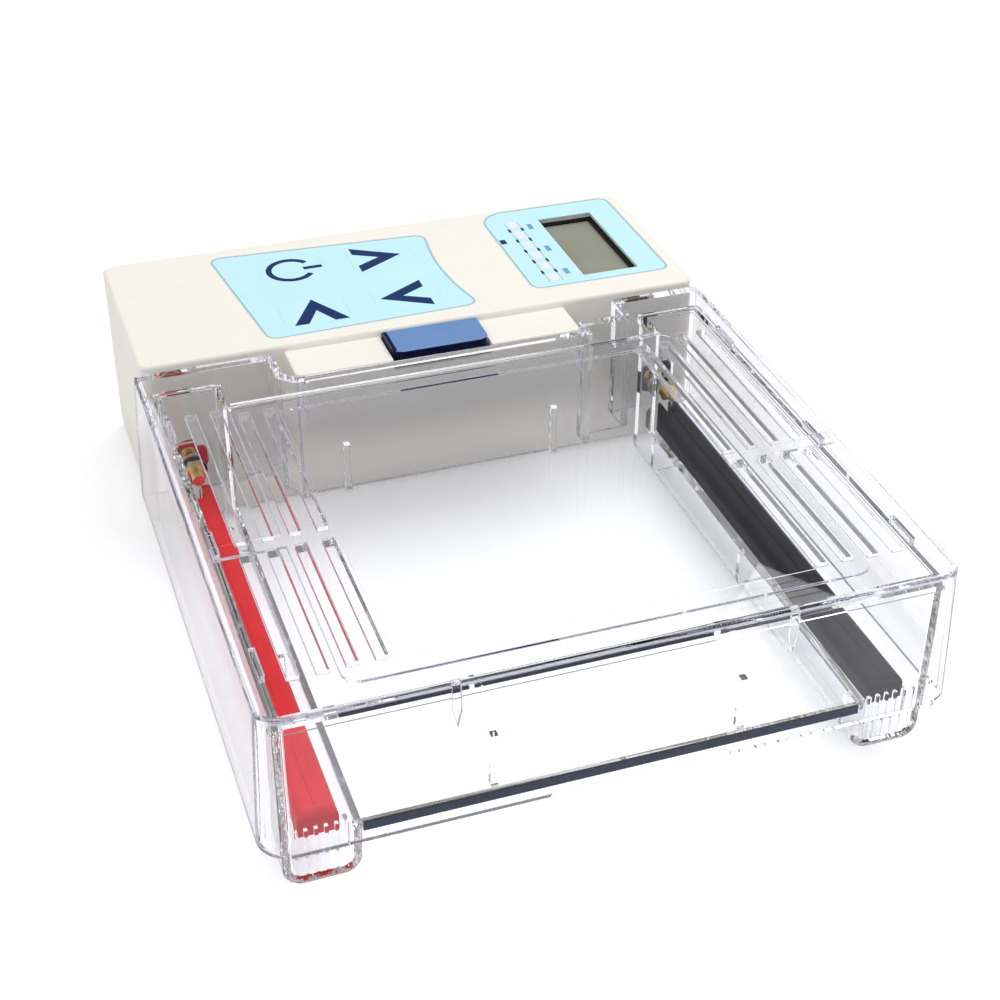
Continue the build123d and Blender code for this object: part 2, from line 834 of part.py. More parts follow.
def make_upper_case():
    side_x = (-case_half, case_half)
    shell = block(side_x, (case_front, case_rear), (split_height, case_top))
    shell = fillet(uprights(shell), case_corner)
    shell = fillet(shell.edges().group_by(Axis.Z)[-1], case_edge_round)
    nose = block((-nose_left, nose_right), (nose_front, case_front + 4), (nose_bottom, lid_top))
    nose = fillet(uprights(nose).group_by(Axis.Y)[0], 2.0)
    shell += fillet(nose.edges().group_by(Axis.Z)[-1].sort_by(Axis.Y)[:-1], 0.7)
    inner_x = (-case_half + case_wall, case_half - case_wall)
    inner_y = (case_front + case_wall, case_rear - case_wall)
    hollow = block(inner_x, inner_y, (split_height - 1, case_roof))
    shell -= fillet(uprights(hollow), case_corner - case_wall)
    grow = lip_thickness + 0.1
    rebate_x = (inner_x[0] - grow, inner_x[1] + grow)
    rebate_y = (inner_y[0] - grow, inner_y[1] + grow)
    rebate = block(rebate_x, rebate_y, (split_height - 1, split_height + lip_height + 0.2))
    rebate = fillet(uprights(rebate), case_corner - case_wall + grow)
    shell -= rebate
    shell -= block(
        (-nose_left + case_wall, nose_right - case_wall),
        (nose_front + case_wall, case_front + case_wall + 1),
        (nose_bottom + case_wall, lid_top - case_wall),
    )
    latch_half = latch_width / 2 + latch_side_gap
    latch_room = (latch_bottom - latch_room_below, case_top + 1)
    shell -= block((-latch_half, latch_half), (nose_front - 1, case_front - 0.3), latch_room)
    arm_half = latch_arm_width / 2 + 4
    shell -= block((-arm_half, arm_half), (case_front - 2, case_front + case_wall + 1), (nose_bottom + 5, case_roof))

    film = Pos(0, 0, case_top - film_thickness) * offset(keypad_film_outline(), film_slit)
    shell -= extrude(film, film_thickness + 1)
    for column, row in all_keys():
        floor = case_top - film_thickness - key_travel - 0.2
        pocket = Pos(0, 0, floor) * offset(key_outline(column, row), film_slit)
        shell -= extrude(pocket, 2)
        x, y = key_columns[column], case_front + key_rows[row]
        shell -= post(x, y, key_stem_radius + key_stem_play, case_roof - 1, case_top)
    panel = Pos(0, 0, case_top - film_thickness) * offset(display_outline(), film_slit)
    shell -= extrude(panel, film_thickness + 1)
    shell -= screen_window(0.8, case_roof - 1, case_top + 1)
    for x, y in lamp_places():
        shell -= block(
            (x - lamp_width / 2 - fit, x + lamp_width / 2 + fit),
            (y - lamp_length / 2 - fit, y + lamp_length / 2 + fit),
            (case_roof - 1, case_top),
        )
    for x, y in case_screw_places():
        shell += post(x, y, boss_radius, split_height + seat_gap, case_roof + 0.5)
        shell -= post(x, y, screw_radius + fit, split_height - 1, split_height + screw_reach + 1)
    for x, y in control_post_places():
        shell += post(x, y, control_post_radius, control_board_top, case_roof + 0.5)
        shell -= post(x, y, screw_radius + fit - 0.3, control_board_top - 1, case_roof - 1)
    for side in (-1, 1):
        ear_start = latch_arm_width / 2 + ear_gap
        ear_x = mirrored(side, (ear_start, ear_start + ear_thickness))
        ear_y = (latch_pivot_y - ear_depth / 2, latch_pivot_y + ear_depth / 2)
        shell += block(ear_x, ear_y, (latch_pivot_z - latch_pivot_radius - seat_gap, case_roof + 0.5))
    shell -= rod_along_x(latch_pivot_y, latch_pivot_z, latch_pin_radius + fit, -20, 20)
    shell += post(0, spring_y(), spring_radius + 1, nose_bottom + case_wall - 0.5, spring_seat())
    switch_half = switch_width / 2 + 1.3
    switch_x = (switch_middle() - switch_half, switch_middle() + switch_half)
    switch_y = (switch_y_place() - switch_front - 1, switch_y_place() + switch_back + 1)
    shell += block(switch_x, switch_y, (nose_bottom + case_wall - 0.5, spring_seat()))
    return shell


def spring_y():
    """The spring stands under the arm, in front of the pivot."""
    return latch_pivot_y - spring_step


def spring_seat():
    return nose_bottom + case_wall + spring_post_height


def switch_middle():
    return -latch_arm_width / 2 + switch_width / 2 + 1.3


def switch_y_place():
    return spring_y() - switch_step


def arm_bottom():
    return latch_pivot_z - latch_arm_thickness / 2


def make_latch():
    """The blue tab, its arm under the roof of the case and the barrel that it turns on."""
    half = latch_width / 2
    tab_rear = case_front - latch_end_gap
    tab = block((-half, half), (nose_front + latch_front_gap, tab_rear), (latch_bottom, latch_top))
    tab = fillet(uprights(tab).group_by(Axis.Y)[0], latch_corner)
    tab = fillet(tab.edges().group_by(Axis.Z)[-1], latch_edge_round)
    arm_half = latch_arm_width / 2
    arm_z = (arm_bottom(), arm_bottom() + latch_arm_thickness)
    arm = block((-arm_half, arm_half), (spring_y() - 5, latch_pivot_y), arm_z)
    neck = block((-arm_half, arm_half), (spring_y() - 5, tab_rear - 1), (arm_bottom(), latch_bottom + 0.5))
    barrel = rod_along_x(latch_pivot_y, latch_pivot_z, latch_pivot_radius - 0.3, -arm_half, arm_half)
    latch = tab + arm + neck + barrel
    return latch - rod_along_x(latch_pivot_y, latch_pivot_z, latch_pin_radius + fit, -20, 20)


def make_latch_pin():
    end = latch_arm_width / 2 + ear_gap + ear_thickness
    return rod_along_x(latch_pivot_y, latch_pivot_z, latch_pin_radius, -end, end)


def make_latch_spring():
    low = spring_seat() + spring_wire
    high = arm_bottom() - spring_wire - 0.05
    coil = Helix(pitch=(high - low) / spring_turns, height=high - low, radius=spring_radius - spring_wire)
    section = Plane(origin=coil @ 0, z_dir=coil % 0) * Circle(spring_wire)
    return Pos(0, spring_y(), low) * sweep(section, path=coil, is_frenet=True)


def switch_top():
    return spring_seat() + switch_height


def make_switch_body():
    x = (switch_middle() - switch_width / 2, switch_middle() + switch_width / 2)
    y = (switch_y_place() - switch_front, switch_y_place() + switch_back)
    body = block(x, y, (spring_seat(), switch_top()))
    bore = plunger_radius + plunger_play
    return body - post(switch_middle(), switch_y_place(), bore, switch_top() - plunger_depth, switch_top() + 1)


def make_switch_plunger():
    low = switch_top() - plunger_depth + plunger_bottom_gap
    return post(switch_middle(), switch_y_place(), plunger_radius, low, arm_bottom() - plunger_top_gap)


def make_keypad_film():
    film = Pos(0, 0, case_top - film_thickness) * keypad_film_outline()
    film = extrude(film, film_thickness)
    for column, row in all_keys():
        hole = Pos(0, 0, case_top - film_thickness - 1) * offset(key_outline(column, row), film_slit)
        film -= extrude(hole, film_thickness + 2)
    return film


def make_key(column, row):
    pad = extrude(Pos(0, 0, case_top - film_thickness) * key_outline(column, row), film_thickness)
    x, y = key_columns[column], case_front + key_rows[row]
    foot = control_board_top + dome_height + key_travel + 0.1
    return pad + post(x, y, key_stem_radius, foot, case_top - film_thickness + 0.1)


def make_key_dome(column, row):
    x, y = key_columns[column], case_front + key_rows[row]
    dome = post(x, y, dome_radius, control_board_top, control_board_top + dome_height)
    return fillet(dome.edges().group_by(Axis.Z)[-1], dome_height * 0.7)


def make_display_panel():
    panel = extrude(Pos(0, 0, case_top - film_thickness) * display_outline(), film_thickness)
    panel -= screen_window(0, case_top - 2, case_top + 1)
    for x, y in lamp_places():
        panel -= lamp_column_solid(x, y, fit, case_top - 2, case_top + 1)
    return panel


def lamp_column_solid(x, y, grow, low, high):
    width = lamp_width + 2 * grow
    length = lamp_length + 2 * grow
    return extrude(Pos(x, y, low) * Rot(0, 0, 90) * SlotOverall(length, width), high - low)


def make_lamp_lens(x, y):
    lens = lamp_column_solid(x, y, 0, case_roof - 0.4, case_top)
    return lens + lamp_column_solid(x, y, 0.7, case_roof - 1.2, case_roof - 0.1)


def make_lamp(x, y):
    half_x, half_y = lamp_width / 2 - 0.4, lamp_length / 2 - 1.2
    low = control_board_top
    return block((x - half_x, x + half_x), (y - half_y, y + half_y), (low, low + 1.9))


def glass_top():
    return case_roof - 0.9


def make_screen_frame():
    frame = screen_window(screen_border, control_board_top, case_roof - seat_gap)
    frame -= screen_window(-screen_lip, glass_top() - 1, case_roof + 1)
    frame -= screen_window(screen_border - 1.7, glass_top() - glass_thickness, glass_top())
    return frame


def make_screen_glass():
    return screen_window(screen_border - 1.7 - fit, glass_top() - glass_thickness, glass_top() - fit)


def make_control_board():
    x = (-control_board_left, control_board_right)
    board = block(x, (board_front, board_rear), (control_board_top - board_thickness, control_board_top))
    for px, py in control_post_places():
        board -= post(px, py, screw_radius + 0.2, control_board_top - 5, control_board_top + 5)
    return board


def ribbon_places():
    """The lower and upper connector of the ribbon, along Y."""
    return case_front + ribbon_low_place, case_front + ribbon_high_place


def ribbon_middle():
    return (key_columns[0] + key_columns[1]) / 2


def make_connector(upper):
    low_y, high_y = ribbon_places()
    y = high_y if upper else low_y
    half = ribbon_width / 2 + connector_end
    if upper:
        z = (control_board_top - board_thickness - connector_height, control_board_top - board_thickness)
    else:
        z = (main_board_top, main_board_top + connector_height)
    x = (ribbon_middle() - half, ribbon_middle() + half)
    return block(x, (y - connector_depth / 2, y + connector_depth / 2), z)


def make_ribbon():
    low_y, high_y = ribbon_places()
    low = main_board_top + connector_height
    high = control_board_top - board_thickness - connector_height
    x = ribbon_middle()
    middle = (low + high) / 2
    slope = (high_y - low_y) * 5 / 9
    points = [(x, low_y, low), (x, low_y, middle - slope), (x, high_y, middle + slope), (x, high_y, high)]
    path = FilletPolyline(*points, radius=ribbon_bend)
    section = Plane(origin=points[0], x_dir=(1, 0, 0), z_dir=(0, 0, 1)) * Rectangle(ribbon_width, ribbon_thickness)
    return sweep(section, path=path)


def make_controller():
    x, y, half = chip_place, case_front + chip_depth_place, chip_size / 2
    high = control_board_top - board_thickness
    return block((x - half, x + half), (y - half, y + half), (high - chip_height, high))


def make_buzzer():
    x, y = chip_place, case_front + buzzer_depth_place
    high = control_board_top - board_thickness
    low = high - buzzer_height
    buzzer = post(x, y, buzzer_radius, low, high)
    return buzzer - post(x, y, buzzer_hole_radius, low - 1, low + buzzer_hole_depth)


def make_main_board():
    x = (-main_board_half, main_board_half)
    board = block(x, (board_front, board_rear), (main_board_bottom, main_board_top))
    for px, py in board_post_places():
        board -= post(px, py, screw_radius + 0.2, 0, main_board_top + 5)
    return board


def transformer_middle():
    """The middle of the transformer in plan."""
    return -transformer_place, case_front + transformer_depth_place


def core_window():
    """The inner and outer edge, the bottom and the top of the two windows in the core."""
    low = main_board_top + winding_base + core_limb
    return core_post_width / 2, core_width / 2 - core_limb, low, low + core_window_height


def make_transformer_core():
    x, y = transformer_middle()
    half_w, half_d = core_width / 2, core_depth / 2
    low = main_board_top + winding_base
    core = block((x - half_w, x + half_w), (y - half_d, y + half_d), (low, low + core_height))
    inner, outer, window_low, window_high = core_window()
    for side in (-1, 1):
        window_x = sorted((x + side * inner, x + side * outer))
        core -= block(window_x, (y - half_d - 1, y + half_d + 1), (window_low, window_high))
    return core


def make_transformer_winding():
    x, y = transformer_middle()
    inner, outer, low, high = core_window()
    low, high, half_w = low + winding_gap, high - winding_gap, outer - winding_gap
    half_d = winding_depth / 2
    winding = block((x - half_w, x + half_w), (y - half_d, y + half_d), (low, high))
    winding = fillet(uprights(winding), winding_corner)
    winding -= block((x - inner, x + inner), (y - core_depth / 2, y + core_depth / 2), (low - 1, high + 1))
    base_w, base_d = winding_base_width / 2, winding_base_depth / 2
    base_z = (main_board_top, main_board_top + winding_base)
    winding += block((x - base_w, x + base_w), (y - base_d, y + base_d), base_z)
    leg_w = winding_leg_width / 2
    for side in (-1, 1):
        leg_y = sorted((y + side * (core_depth / 2 + winding_gap), y + side * base_d))
        winding += block((x - leg_w, x + leg_w), leg_y, (main_board_top, low + 1))
    return winding


def make_capacitors():
    group = []
    for index in range(2):
        y = case_front + capacitor_front + index * capacitor_pitch
        x = capacitor_board_inset - main_board_half
        can = post(x, y, capacitor_radius, main_board_top, main_board_top + capacitor_height)
        group.append(fillet(can.edges().group_by(Axis.Z)[-1], capacitor_round))
    return group


def sink_range():
    """Where the heat sink starts and ends along Y."""
    return case_front + sink_front, case_front + sink_front + sink_length


def make_heat_sink():
    plate_x = (sink_place, sink_place + sink_plate)
    sink = block(plate_x, sink_range(), (main_board_top, main_board_top + sink_height))
    fin_pitch = (sink_height - fin_first_height - fin_top_gap - fin_thickness) / (fin_count - 1)
    for index in range(fin_count):
        fin = main_board_top + fin_first_height + index * fin_pitch
        sink += block((sink_place, sink_place + sink_depth), sink_range(), (fin, fin + fin_thickness))
    return sink


def make_transistors():
    x = sink_place
    group = []
    for side in (-1, 1):
        y = sum(sink_range()) / 2 + side * transistor_pitch / 2
        half = transistor_width / 2
        body_z = (main_board_top + transistor_leg, main_board_top + transistor_leg + transistor_height)
        body = block((x - transistor_thickness, x), (y - half, y + half), body_z)
        leg_x = x - transistor_thickness / 2
        leg_half = transistor_leg_width / 2
        leg_sides = (leg_x - transistor_leg_thickness / 2, leg_x + transistor_leg_thickness / 2)
        legs = block(leg_sides, (y - leg_half, y + leg_half), (main_board_top, body_z[0]))
        group.append(body + legs)
    return group


def fuse_line():
    """Centre height and depth of the fuse."""
    return main_board_top + fuse_lift, case_front + fuse_depth_place


def make_fuse():
    z, y = fuse_line()
    return rod_along_x(y, z, fuse_radius, fuse_place - fuse_length / 2, fuse_place + fuse_length / 2)


def make_fuse_clips():
    z, y = fuse_line()
    group = []
    for side in (-1, 1):
        x = fuse_place + side * clip_pitch / 2
        clip_x = (x - clip_width / 2, x + clip_width / 2)
        clip_y = (y - clip_depth / 2, y + clip_depth / 2)
        clip = block(clip_x, clip_y, (main_board_top, z + clip_rise))
        group.append(clip - rod_along_x(y, z, fuse_radius + fit, clip_x[0] - 1, clip_x[1] + 1))
    return group


def inlet_middle():
    return inlet_bottom() + inlet_tall / 2


def inlet_blades(grow):
    """The three flat contacts of the mains inlet."""
    z = inlet_middle()
    places = [(-blade_spread, -blade_offset / 2), (blade_spread, -blade_offset / 2), (0.0, blade_offset / 2)]
    blades = []
    for dx, dz in places:
        x = inlet_place + dx
        half_w, half_t = blade_width / 2 + grow, blade_tall / 2 + grow
        blade_y = (inlet_front() - blade_tail, case_rear - blade_drop)
        blades.append(block((x - half_w, x + half_w), blade_y, (z + dz - half_t, z + dz + half_t)))
    return blades


def inlet_front():
    return case_rear - inlet_sink - inlet_deep


def make_inlet():
    x = (inlet_place - inlet_width / 2, inlet_place + inlet_width / 2)
    z = (inlet_bottom(), inlet_bottom() + inlet_tall)
    body = block(x, (inlet_front(), case_rear - inlet_sink), z)
    half_w, half_t = inlet_cavity_width / 2, inlet_cavity_tall / 2
    low, high = inlet_middle() - half_t, inlet_middle() + half_t
    cavity = block(
        (inlet_place - half_w, inlet_place + half_w), (case_rear - inlet_cavity_deep, case_rear + 1), (low, high)
    )
    cavity = chamfer(cavity.edges().filter_by(Axis.Y).group_by(Axis.Z)[-1], inlet_cavity_chamfer)
    body -= cavity
    for blade in inlet_blades(0.0):
        body -= blade
    return body


def make_foot(x, y):
    foot = post(x, y, foot_radius, 0, case_lift)
    foot = fillet(foot.edges().group_by(Axis.Z)[0], 0.8)
    return foot + post(x, y, foot_plug_radius, case_lift - 0.5, case_lift + foot_plug_height)


def make_screw(x, y, head_low, head_high, shank_low, shank_high, shank_radius):
    """A pan-head screw with a cross slot, head down or head up."""
    head = post(x, y, screw_head_radius, head_low, head_high)
    screw = head + post(x, y, shank_radius, shank_low, shank_high)
    head_down = head_low < shank_low
    slot_z = (head_low - 1, head_low + 0.9) if head_down else (head_high - 0.9, head_high + 1)
    screw -= block((x - 1.9, x + 1.9), (y - 0.35, y + 0.35), slot_z)
    return screw - block((x - 0.35, x + 0.35), (y - 1.9, y + 1.9), slot_z)


def make_case_screws():
    seat = screw_seat()
    group = []
    for x, y in case_screw_places():
        tip = split_height + screw_reach
        group.append(make_screw(x, y, seat - screw_head_height, seat, seat - 0.1, tip, screw_radius))
    return group


def make_board_screws():
    group = []
    for x, y in board_post_places():
        low = main_board_top
        shank = screw_radius - 0.4 - fit
        group.append(make_screw(x, y, low, low + screw_head_height, case_floor + 0.4, low + 0.1, shank))
    return group


def make_control_screws():
    group = []
    for x, y in control_post_places():
        high = control_board_top - board_thickness
        shank = screw_radius - 0.3
        group.append(make_screw(x, y, high - screw_head_height, high, high - 0.1, case_roof - 1.5, shank))
    return group


def both_sides(maker):
    return [maker(side) for side in (-1, 1)]


key_names = {(0, 1): "key_power", (1, 1): "key_raise", (0, 0): "key_select", (1, 0): "key_lower"}

nodes = {
    "lid": make_lid(),
    "tank": make_tank(),
    "front_strip": make_front_strip(),
    "anode_guard": make_guard(-1),
    "cathode_guard": make_guard(1),
    "anode_wire": make_wire(-1),
    "cathode_wire": make_wire(1),
    "terminal_pins": both_sides(make_terminal_pin),
    "terminal_seals": both_sides(make_pin_seal),
    "terminal_nuts": both_sides(make_pin_nut),
    "lower_case": make_lower_case(),
    "upper_case": make_upper_case(),
    "rubber_feet": [make_foot(x, y) for x, y in foot_places()],
    "case_screws": make_case_screws(),
    "anode_socket_bush": make_socket_bush(-1),
    "cathode_socket_bush": make_socket_bush(1),
    "socket_sleeves": both_sides(make_socket_sleeve),
    "socket_nuts": both_sides(make_socket_nut),
    "anode_lead": make_output_lead(-1),
    "cathode_lead": make_output_lead(1),
    "keypad_film": make_keypad_film(),
    "key_domes": [make_key_dome(column, row) for column, row in all_keys()],
    "display_panel": make_display_panel(),
    "lamp_lenses": [make_lamp_lens(x, y) for x, y in lamp_places()],
    "indicator_lamps": [make_lamp(x, y) for x, y in lamp_places()],
    "screen_frame": make_screen_frame(),
    "screen_glass": make_screen_glass(),
    "control_board": make_control_board(),
    "control_screws": make_control_screws(),
    "controller_chip": make_controller(),
    "buzzer": make_buzzer(),
    "ribbon_cable": make_ribbon(),
    "ribbon_connectors": [make_connector(False), make_connector(True)],
    "main_board": make_main_board(),
    "board_screws": make_board_screws(),
    "transformer_core": make_transformer_core(),
    "transformer_winding": make_transformer_winding(),
    "capacitors": make_capacitors(),
    "heat_sink": make_heat_sink(),
    "power_transistors": make_transistors(),
    "fuse": make_fuse(),
    "fuse_clips": make_fuse_clips(),
    "mains_inlet": make_inlet(),
    "inlet_blades": inlet_blades(0.0),
    "lid_latch": make_latch(),
    "latch_pin": make_latch_pin(),
    "latch_spring": make_latch_spring(),
    "interlock_switch": make_switch_body(),
    "interlock_plunger": make_switch_plunger(),
}
for (column, row), name in key_names.items():
    nodes[name] = make_key(column, row)

os.makedirs("parts", exist_ok=True)
for name, shape in nodes.items():
    if isinstance(shape, list):
        shape = Compound(children=list(shape))
    export_step(shape, f"parts/{name}.step")
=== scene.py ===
# %% [markdown]
# A compact gel electrophoresis system, dressed for a studio picture.
# A clear tank stands under a clear vented lid and plugs into a cream power supply.
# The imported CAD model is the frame: every piece here takes its size and place from it.

# %% Load the frame
import json
import math

import bmesh
import bpy
from mathutils import Matrix, Vector


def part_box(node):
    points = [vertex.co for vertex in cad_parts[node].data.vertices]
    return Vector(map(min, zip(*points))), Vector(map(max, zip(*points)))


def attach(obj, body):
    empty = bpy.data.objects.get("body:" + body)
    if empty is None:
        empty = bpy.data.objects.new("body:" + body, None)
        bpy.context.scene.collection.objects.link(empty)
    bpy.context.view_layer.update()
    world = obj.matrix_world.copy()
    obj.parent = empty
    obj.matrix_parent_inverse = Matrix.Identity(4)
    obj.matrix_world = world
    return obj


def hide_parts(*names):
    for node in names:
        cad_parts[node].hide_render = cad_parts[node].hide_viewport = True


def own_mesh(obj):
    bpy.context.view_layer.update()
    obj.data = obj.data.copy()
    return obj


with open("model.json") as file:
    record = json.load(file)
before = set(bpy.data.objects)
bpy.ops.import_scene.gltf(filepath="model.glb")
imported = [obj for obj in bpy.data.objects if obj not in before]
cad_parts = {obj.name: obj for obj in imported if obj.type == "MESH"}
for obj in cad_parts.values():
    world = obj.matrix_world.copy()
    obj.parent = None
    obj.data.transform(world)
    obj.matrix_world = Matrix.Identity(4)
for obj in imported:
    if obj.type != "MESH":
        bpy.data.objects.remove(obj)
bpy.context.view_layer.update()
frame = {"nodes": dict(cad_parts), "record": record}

scene = bpy.context.scene
MM = 0.001

# %% [markdown]
# The camera repeats the view of the photograph. It stands low at the front left and looks down
# by about 34 degrees, with a short telephoto lens, so that the lid's front corner comes close.
# Light that enters the edge of a clear wall runs along inside it and turns back many times. Each
# turn is a bounce, so the bounce limit is high: with a low one the edges come out black.

# %% Camera
camera = bpy.data.objects.new("camera", bpy.data.cameras.new("camera"))
scene.collection.objects.link(camera)
camera.data.lens = 64.95
camera.data.sensor_width = 36.0
camera.data.clip_start = 0.01
turn = Matrix.Rotation(math.radians(-19.371), 4, "Z")
tilt = Matrix.Rotation(math.radians(55.802), 4, "X")
roll = Matrix.Rotation(math.radians(0.408), 4, "Z")
camera.matrix_world = Matrix.Translation((-0.1552, -0.4631, 0.3580)) @ turn @ tilt @ roll
scene.camera = camera
scene.view_settings.view_transform = "Standard"

# %% Bounces for thick clear walls
wall_bounces = 80
scene.cycles.max_bounces = wall_bounces
scene.cycles.transmission_bounces = wall_bounces
scene.cycles.glossy_bounces = wall_bounces
scene.cycles.transparent_max_bounces = 64
print("bounces:", wall_bounces)
print("camera at", [round(v, 3) for v in camera.matrix_world.translation])


# %% [markdown]
# A material is a small tree of nodes. These helpers place and join the nodes, so that each
# finish below reads as one short list of what it is made of.

# %% Helpers for node trees
def add(tree, kind, values=None, **settings):
    """A node in the tree, with its settings and the values of its unlinked sockets."""
    node = tree.nodes.new(kind)
    for name, value in settings.items():
        setattr(node, name, value)
    for name, value in (values or {}).items():
        node.inputs[name].default_value = value
    return node


def join(tree, source, target):
    tree.links.new(source, target)


def new_group(name, inputs, outputs):
    """A shader node group with named inputs and outputs, and its two end nodes."""
    group = bpy.data.node_groups.new(name, "ShaderNodeTree")
    for title, kind, value in inputs:
        socket = group.interface.new_socket(title, in_out="INPUT", socket_type=kind)
        socket.default_value = value
    for title, kind in outputs:
        group.interface.new_socket(title, in_out="OUTPUT", socket_type=kind)
    return group, add(group, "NodeGroupInput"), add(group, "NodeGroupOutput")


def rgb(red, green, blue):
    return (red, green, blue, 1.0)


# %% [markdown]
# Moulded plastic is never perfectly even. Its skin has a fine grain from the mould, its gloss
# drifts over the part, and handling leaves faint scratches and a little dust. These groups make
# such masks once, and each material places them with its own scale and strength.

# %% Shared surface effects
FLOAT = "NodeSocketFloat"
grain, grain_in, grain_out = new_group(
    "mould grain",
    [("Scale", FLOAT, 1500.0), ("Soft Scale", FLOAT, 60.0)],
    [("Height", FLOAT), ("Drift", FLOAT)],
)
place = add(grain, "ShaderNodeTexCoord")
fine = add(grain, "ShaderNodeTexNoise", {"Detail": 3.0, "Roughness": 0.6})
soft = add(grain, "ShaderNodeTexNoise", {"Detail": 2.0})
join(grain, place.outputs["Object"], fine.inputs["Vector"])
join(grain, place.outputs["Object"], soft.inputs["Vector"])
join(grain, grain_in.outputs["Scale"], fine.inputs["Scale"])
join(grain, grain_in.outputs["Soft Scale"], soft.inputs["Scale"])
join(grain, fine.outputs["Fac"], grain_out.inputs["Height"])
join(grain, soft.outputs["Fac"], grain_out.inputs["Drift"])

marks, marks_in, marks_out = new_group(
    "handling marks",
    [("Scale", FLOAT, 90.0), ("Amount", FLOAT, 0.5)],
    [("Scratches", FLOAT), ("Dust", FLOAT)],
)
place = add(marks, "ShaderNodeTexCoord")
stretch = add(marks, "ShaderNodeMapping", {"Rotation": (0.3, 0.5, 0.7), "Scale": (1.0, 22.0, 22.0)})
lines = add(marks, "ShaderNodeTexNoise", {"Detail": 4.0, "Roughness": 0.7})
lines_band = add(marks, "ShaderNodeMapRange", {"From Min": 0.66, "From Max": 0.74})
specks = add(marks, "ShaderNodeTexVoronoi", {"Randomness": 1.0})
specks_size = add(marks, "ShaderNodeMath", operation="MULTIPLY")
specks_size.inputs[1].default_value = 14.0
specks_band = add(marks, "ShaderNodeMapRange", {"From Min": 0.10, "From Max": 0.05})
scaled = [add(marks, "ShaderNodeMath", operation="MULTIPLY") for _ in range(2)]
join(marks, place.outputs["Object"], stretch.inputs["Vector"])
join(marks, stretch.outputs["Vector"], lines.inputs["Vector"])
join(marks, marks_in.outputs["Scale"], lines.inputs["Scale"])
join(marks, lines.outputs["Fac"], lines_band.inputs["Value"])
join(marks, lines_band.outputs["Result"], scaled[0].inputs[0])
join(marks, marks_in.outputs["Amount"], scaled[0].inputs[1])
join(marks, scaled[0].outputs[0], marks_out.inputs["Scratches"])
join(marks, place.outputs["Object"], specks.inputs["Vector"])
join(marks, marks_in.outputs["Scale"], specks_size.inputs[0])
join(marks, specks_size.outputs[0], specks.inputs["Scale"])
join(marks, specks.outputs["Distance"], specks_band.inputs["Value"])
join(marks, specks_band.outputs["Result"], scaled[1].inputs[0])
join(marks, marks_in.outputs["Amount"], scaled[1].inputs[1])
join(marks, scaled[1].outputs[0], marks_out.inputs["Dust"])
print("shared groups:", [group.name for group in (grain, marks)])


# %% [markdown]
# One recipe covers the solid finishes. The colour drifts a little between two shades, the
# roughness follows the drift and the scratches, and the grain feeds a bump.

# %% The recipe for a solid finish
def finish(name, colour, shade, roughness, grain_scale=1500.0, grain_depth=0.02, **shader):
    """A material from the shared groups. colour and shade are the two ends of the drift."""
    drift, wear, dust_strength = 0.08, 0.3, 0.015
    material = bpy.data.materials.new(name)
    material.use_nodes = True
    tree = material.node_tree
    surface = tree.nodes["Principled BSDF"]
    for socket, value in shader.items():
        surface.inputs[socket.replace("_", " ")].default_value = value
    skin = add(tree, "ShaderNodeGroup", node_tree=grain)
    skin.inputs["Scale"].default_value = grain_scale
    worn = add(tree, "ShaderNodeGroup", node_tree=marks)
    worn.inputs["Amount"].default_value = wear
    tint = add(tree, "ShaderNodeMix", data_type="RGBA")
    tint.inputs["A"].default_value = rgb(*colour)
    tint.inputs["B"].default_value = rgb(*shade)
    spread = add(tree, "ShaderNodeMapRange", {"From Min": 0.3, "From Max": 0.7})
    dusty = add(tree, "ShaderNodeMix", data_type="RGBA")
    dusty.inputs["B"].default_value = rgb(0.55, 0.54, 0.52)
    dusty_level = add(tree, "ShaderNodeMath", operation="MULTIPLY")
    dusty_level.inputs[1].default_value = dust_strength
    join(tree, skin.outputs["Drift"], spread.inputs["Value"])
    join(tree, spread.outputs["Result"], tint.inputs["Factor"])
    join(tree, tint.outputs["Result"], dusty.inputs["A"])
    join(tree, worn.outputs["Dust"], dusty_level.inputs[0])
    join(tree, dusty_level.outputs[0], dusty.inputs["Factor"])
    join(tree, dusty.outputs["Result"], surface.inputs["Base Color"])
    rough = add(tree, "ShaderNodeMapRange", {"To Min": roughness - drift, "To Max": roughness + drift})
    rougher = add(tree, "ShaderNodeMath", operation="MULTIPLY_ADD")
    rougher.inputs[1].default_value = 0.25
    join(tree, skin.outputs["Drift"], rough.inputs["Value"])
    join(tree, worn.outputs["Scratches"], rougher.inputs[0])
    join(tree, rough.outputs["Result"], rougher.inputs[2])
    join(tree, rougher.outputs[0], surface.inputs["Roughness"])
    bump = add(tree, "ShaderNodeBump", {"Strength": 0.5, "Distance": grain_depth * MM})
    join(tree, skin.outputs["Height"], bump.inputs["Height"])
    join(tree, bump.outputs["Normal"], surface.inputs["Normal"])
    return material


# %% [markdown]
# The case is cream ABS with a fine spark texture. The keypad is a printed film with a satin
# face, so it is smoother and a little glossier than the case around it.

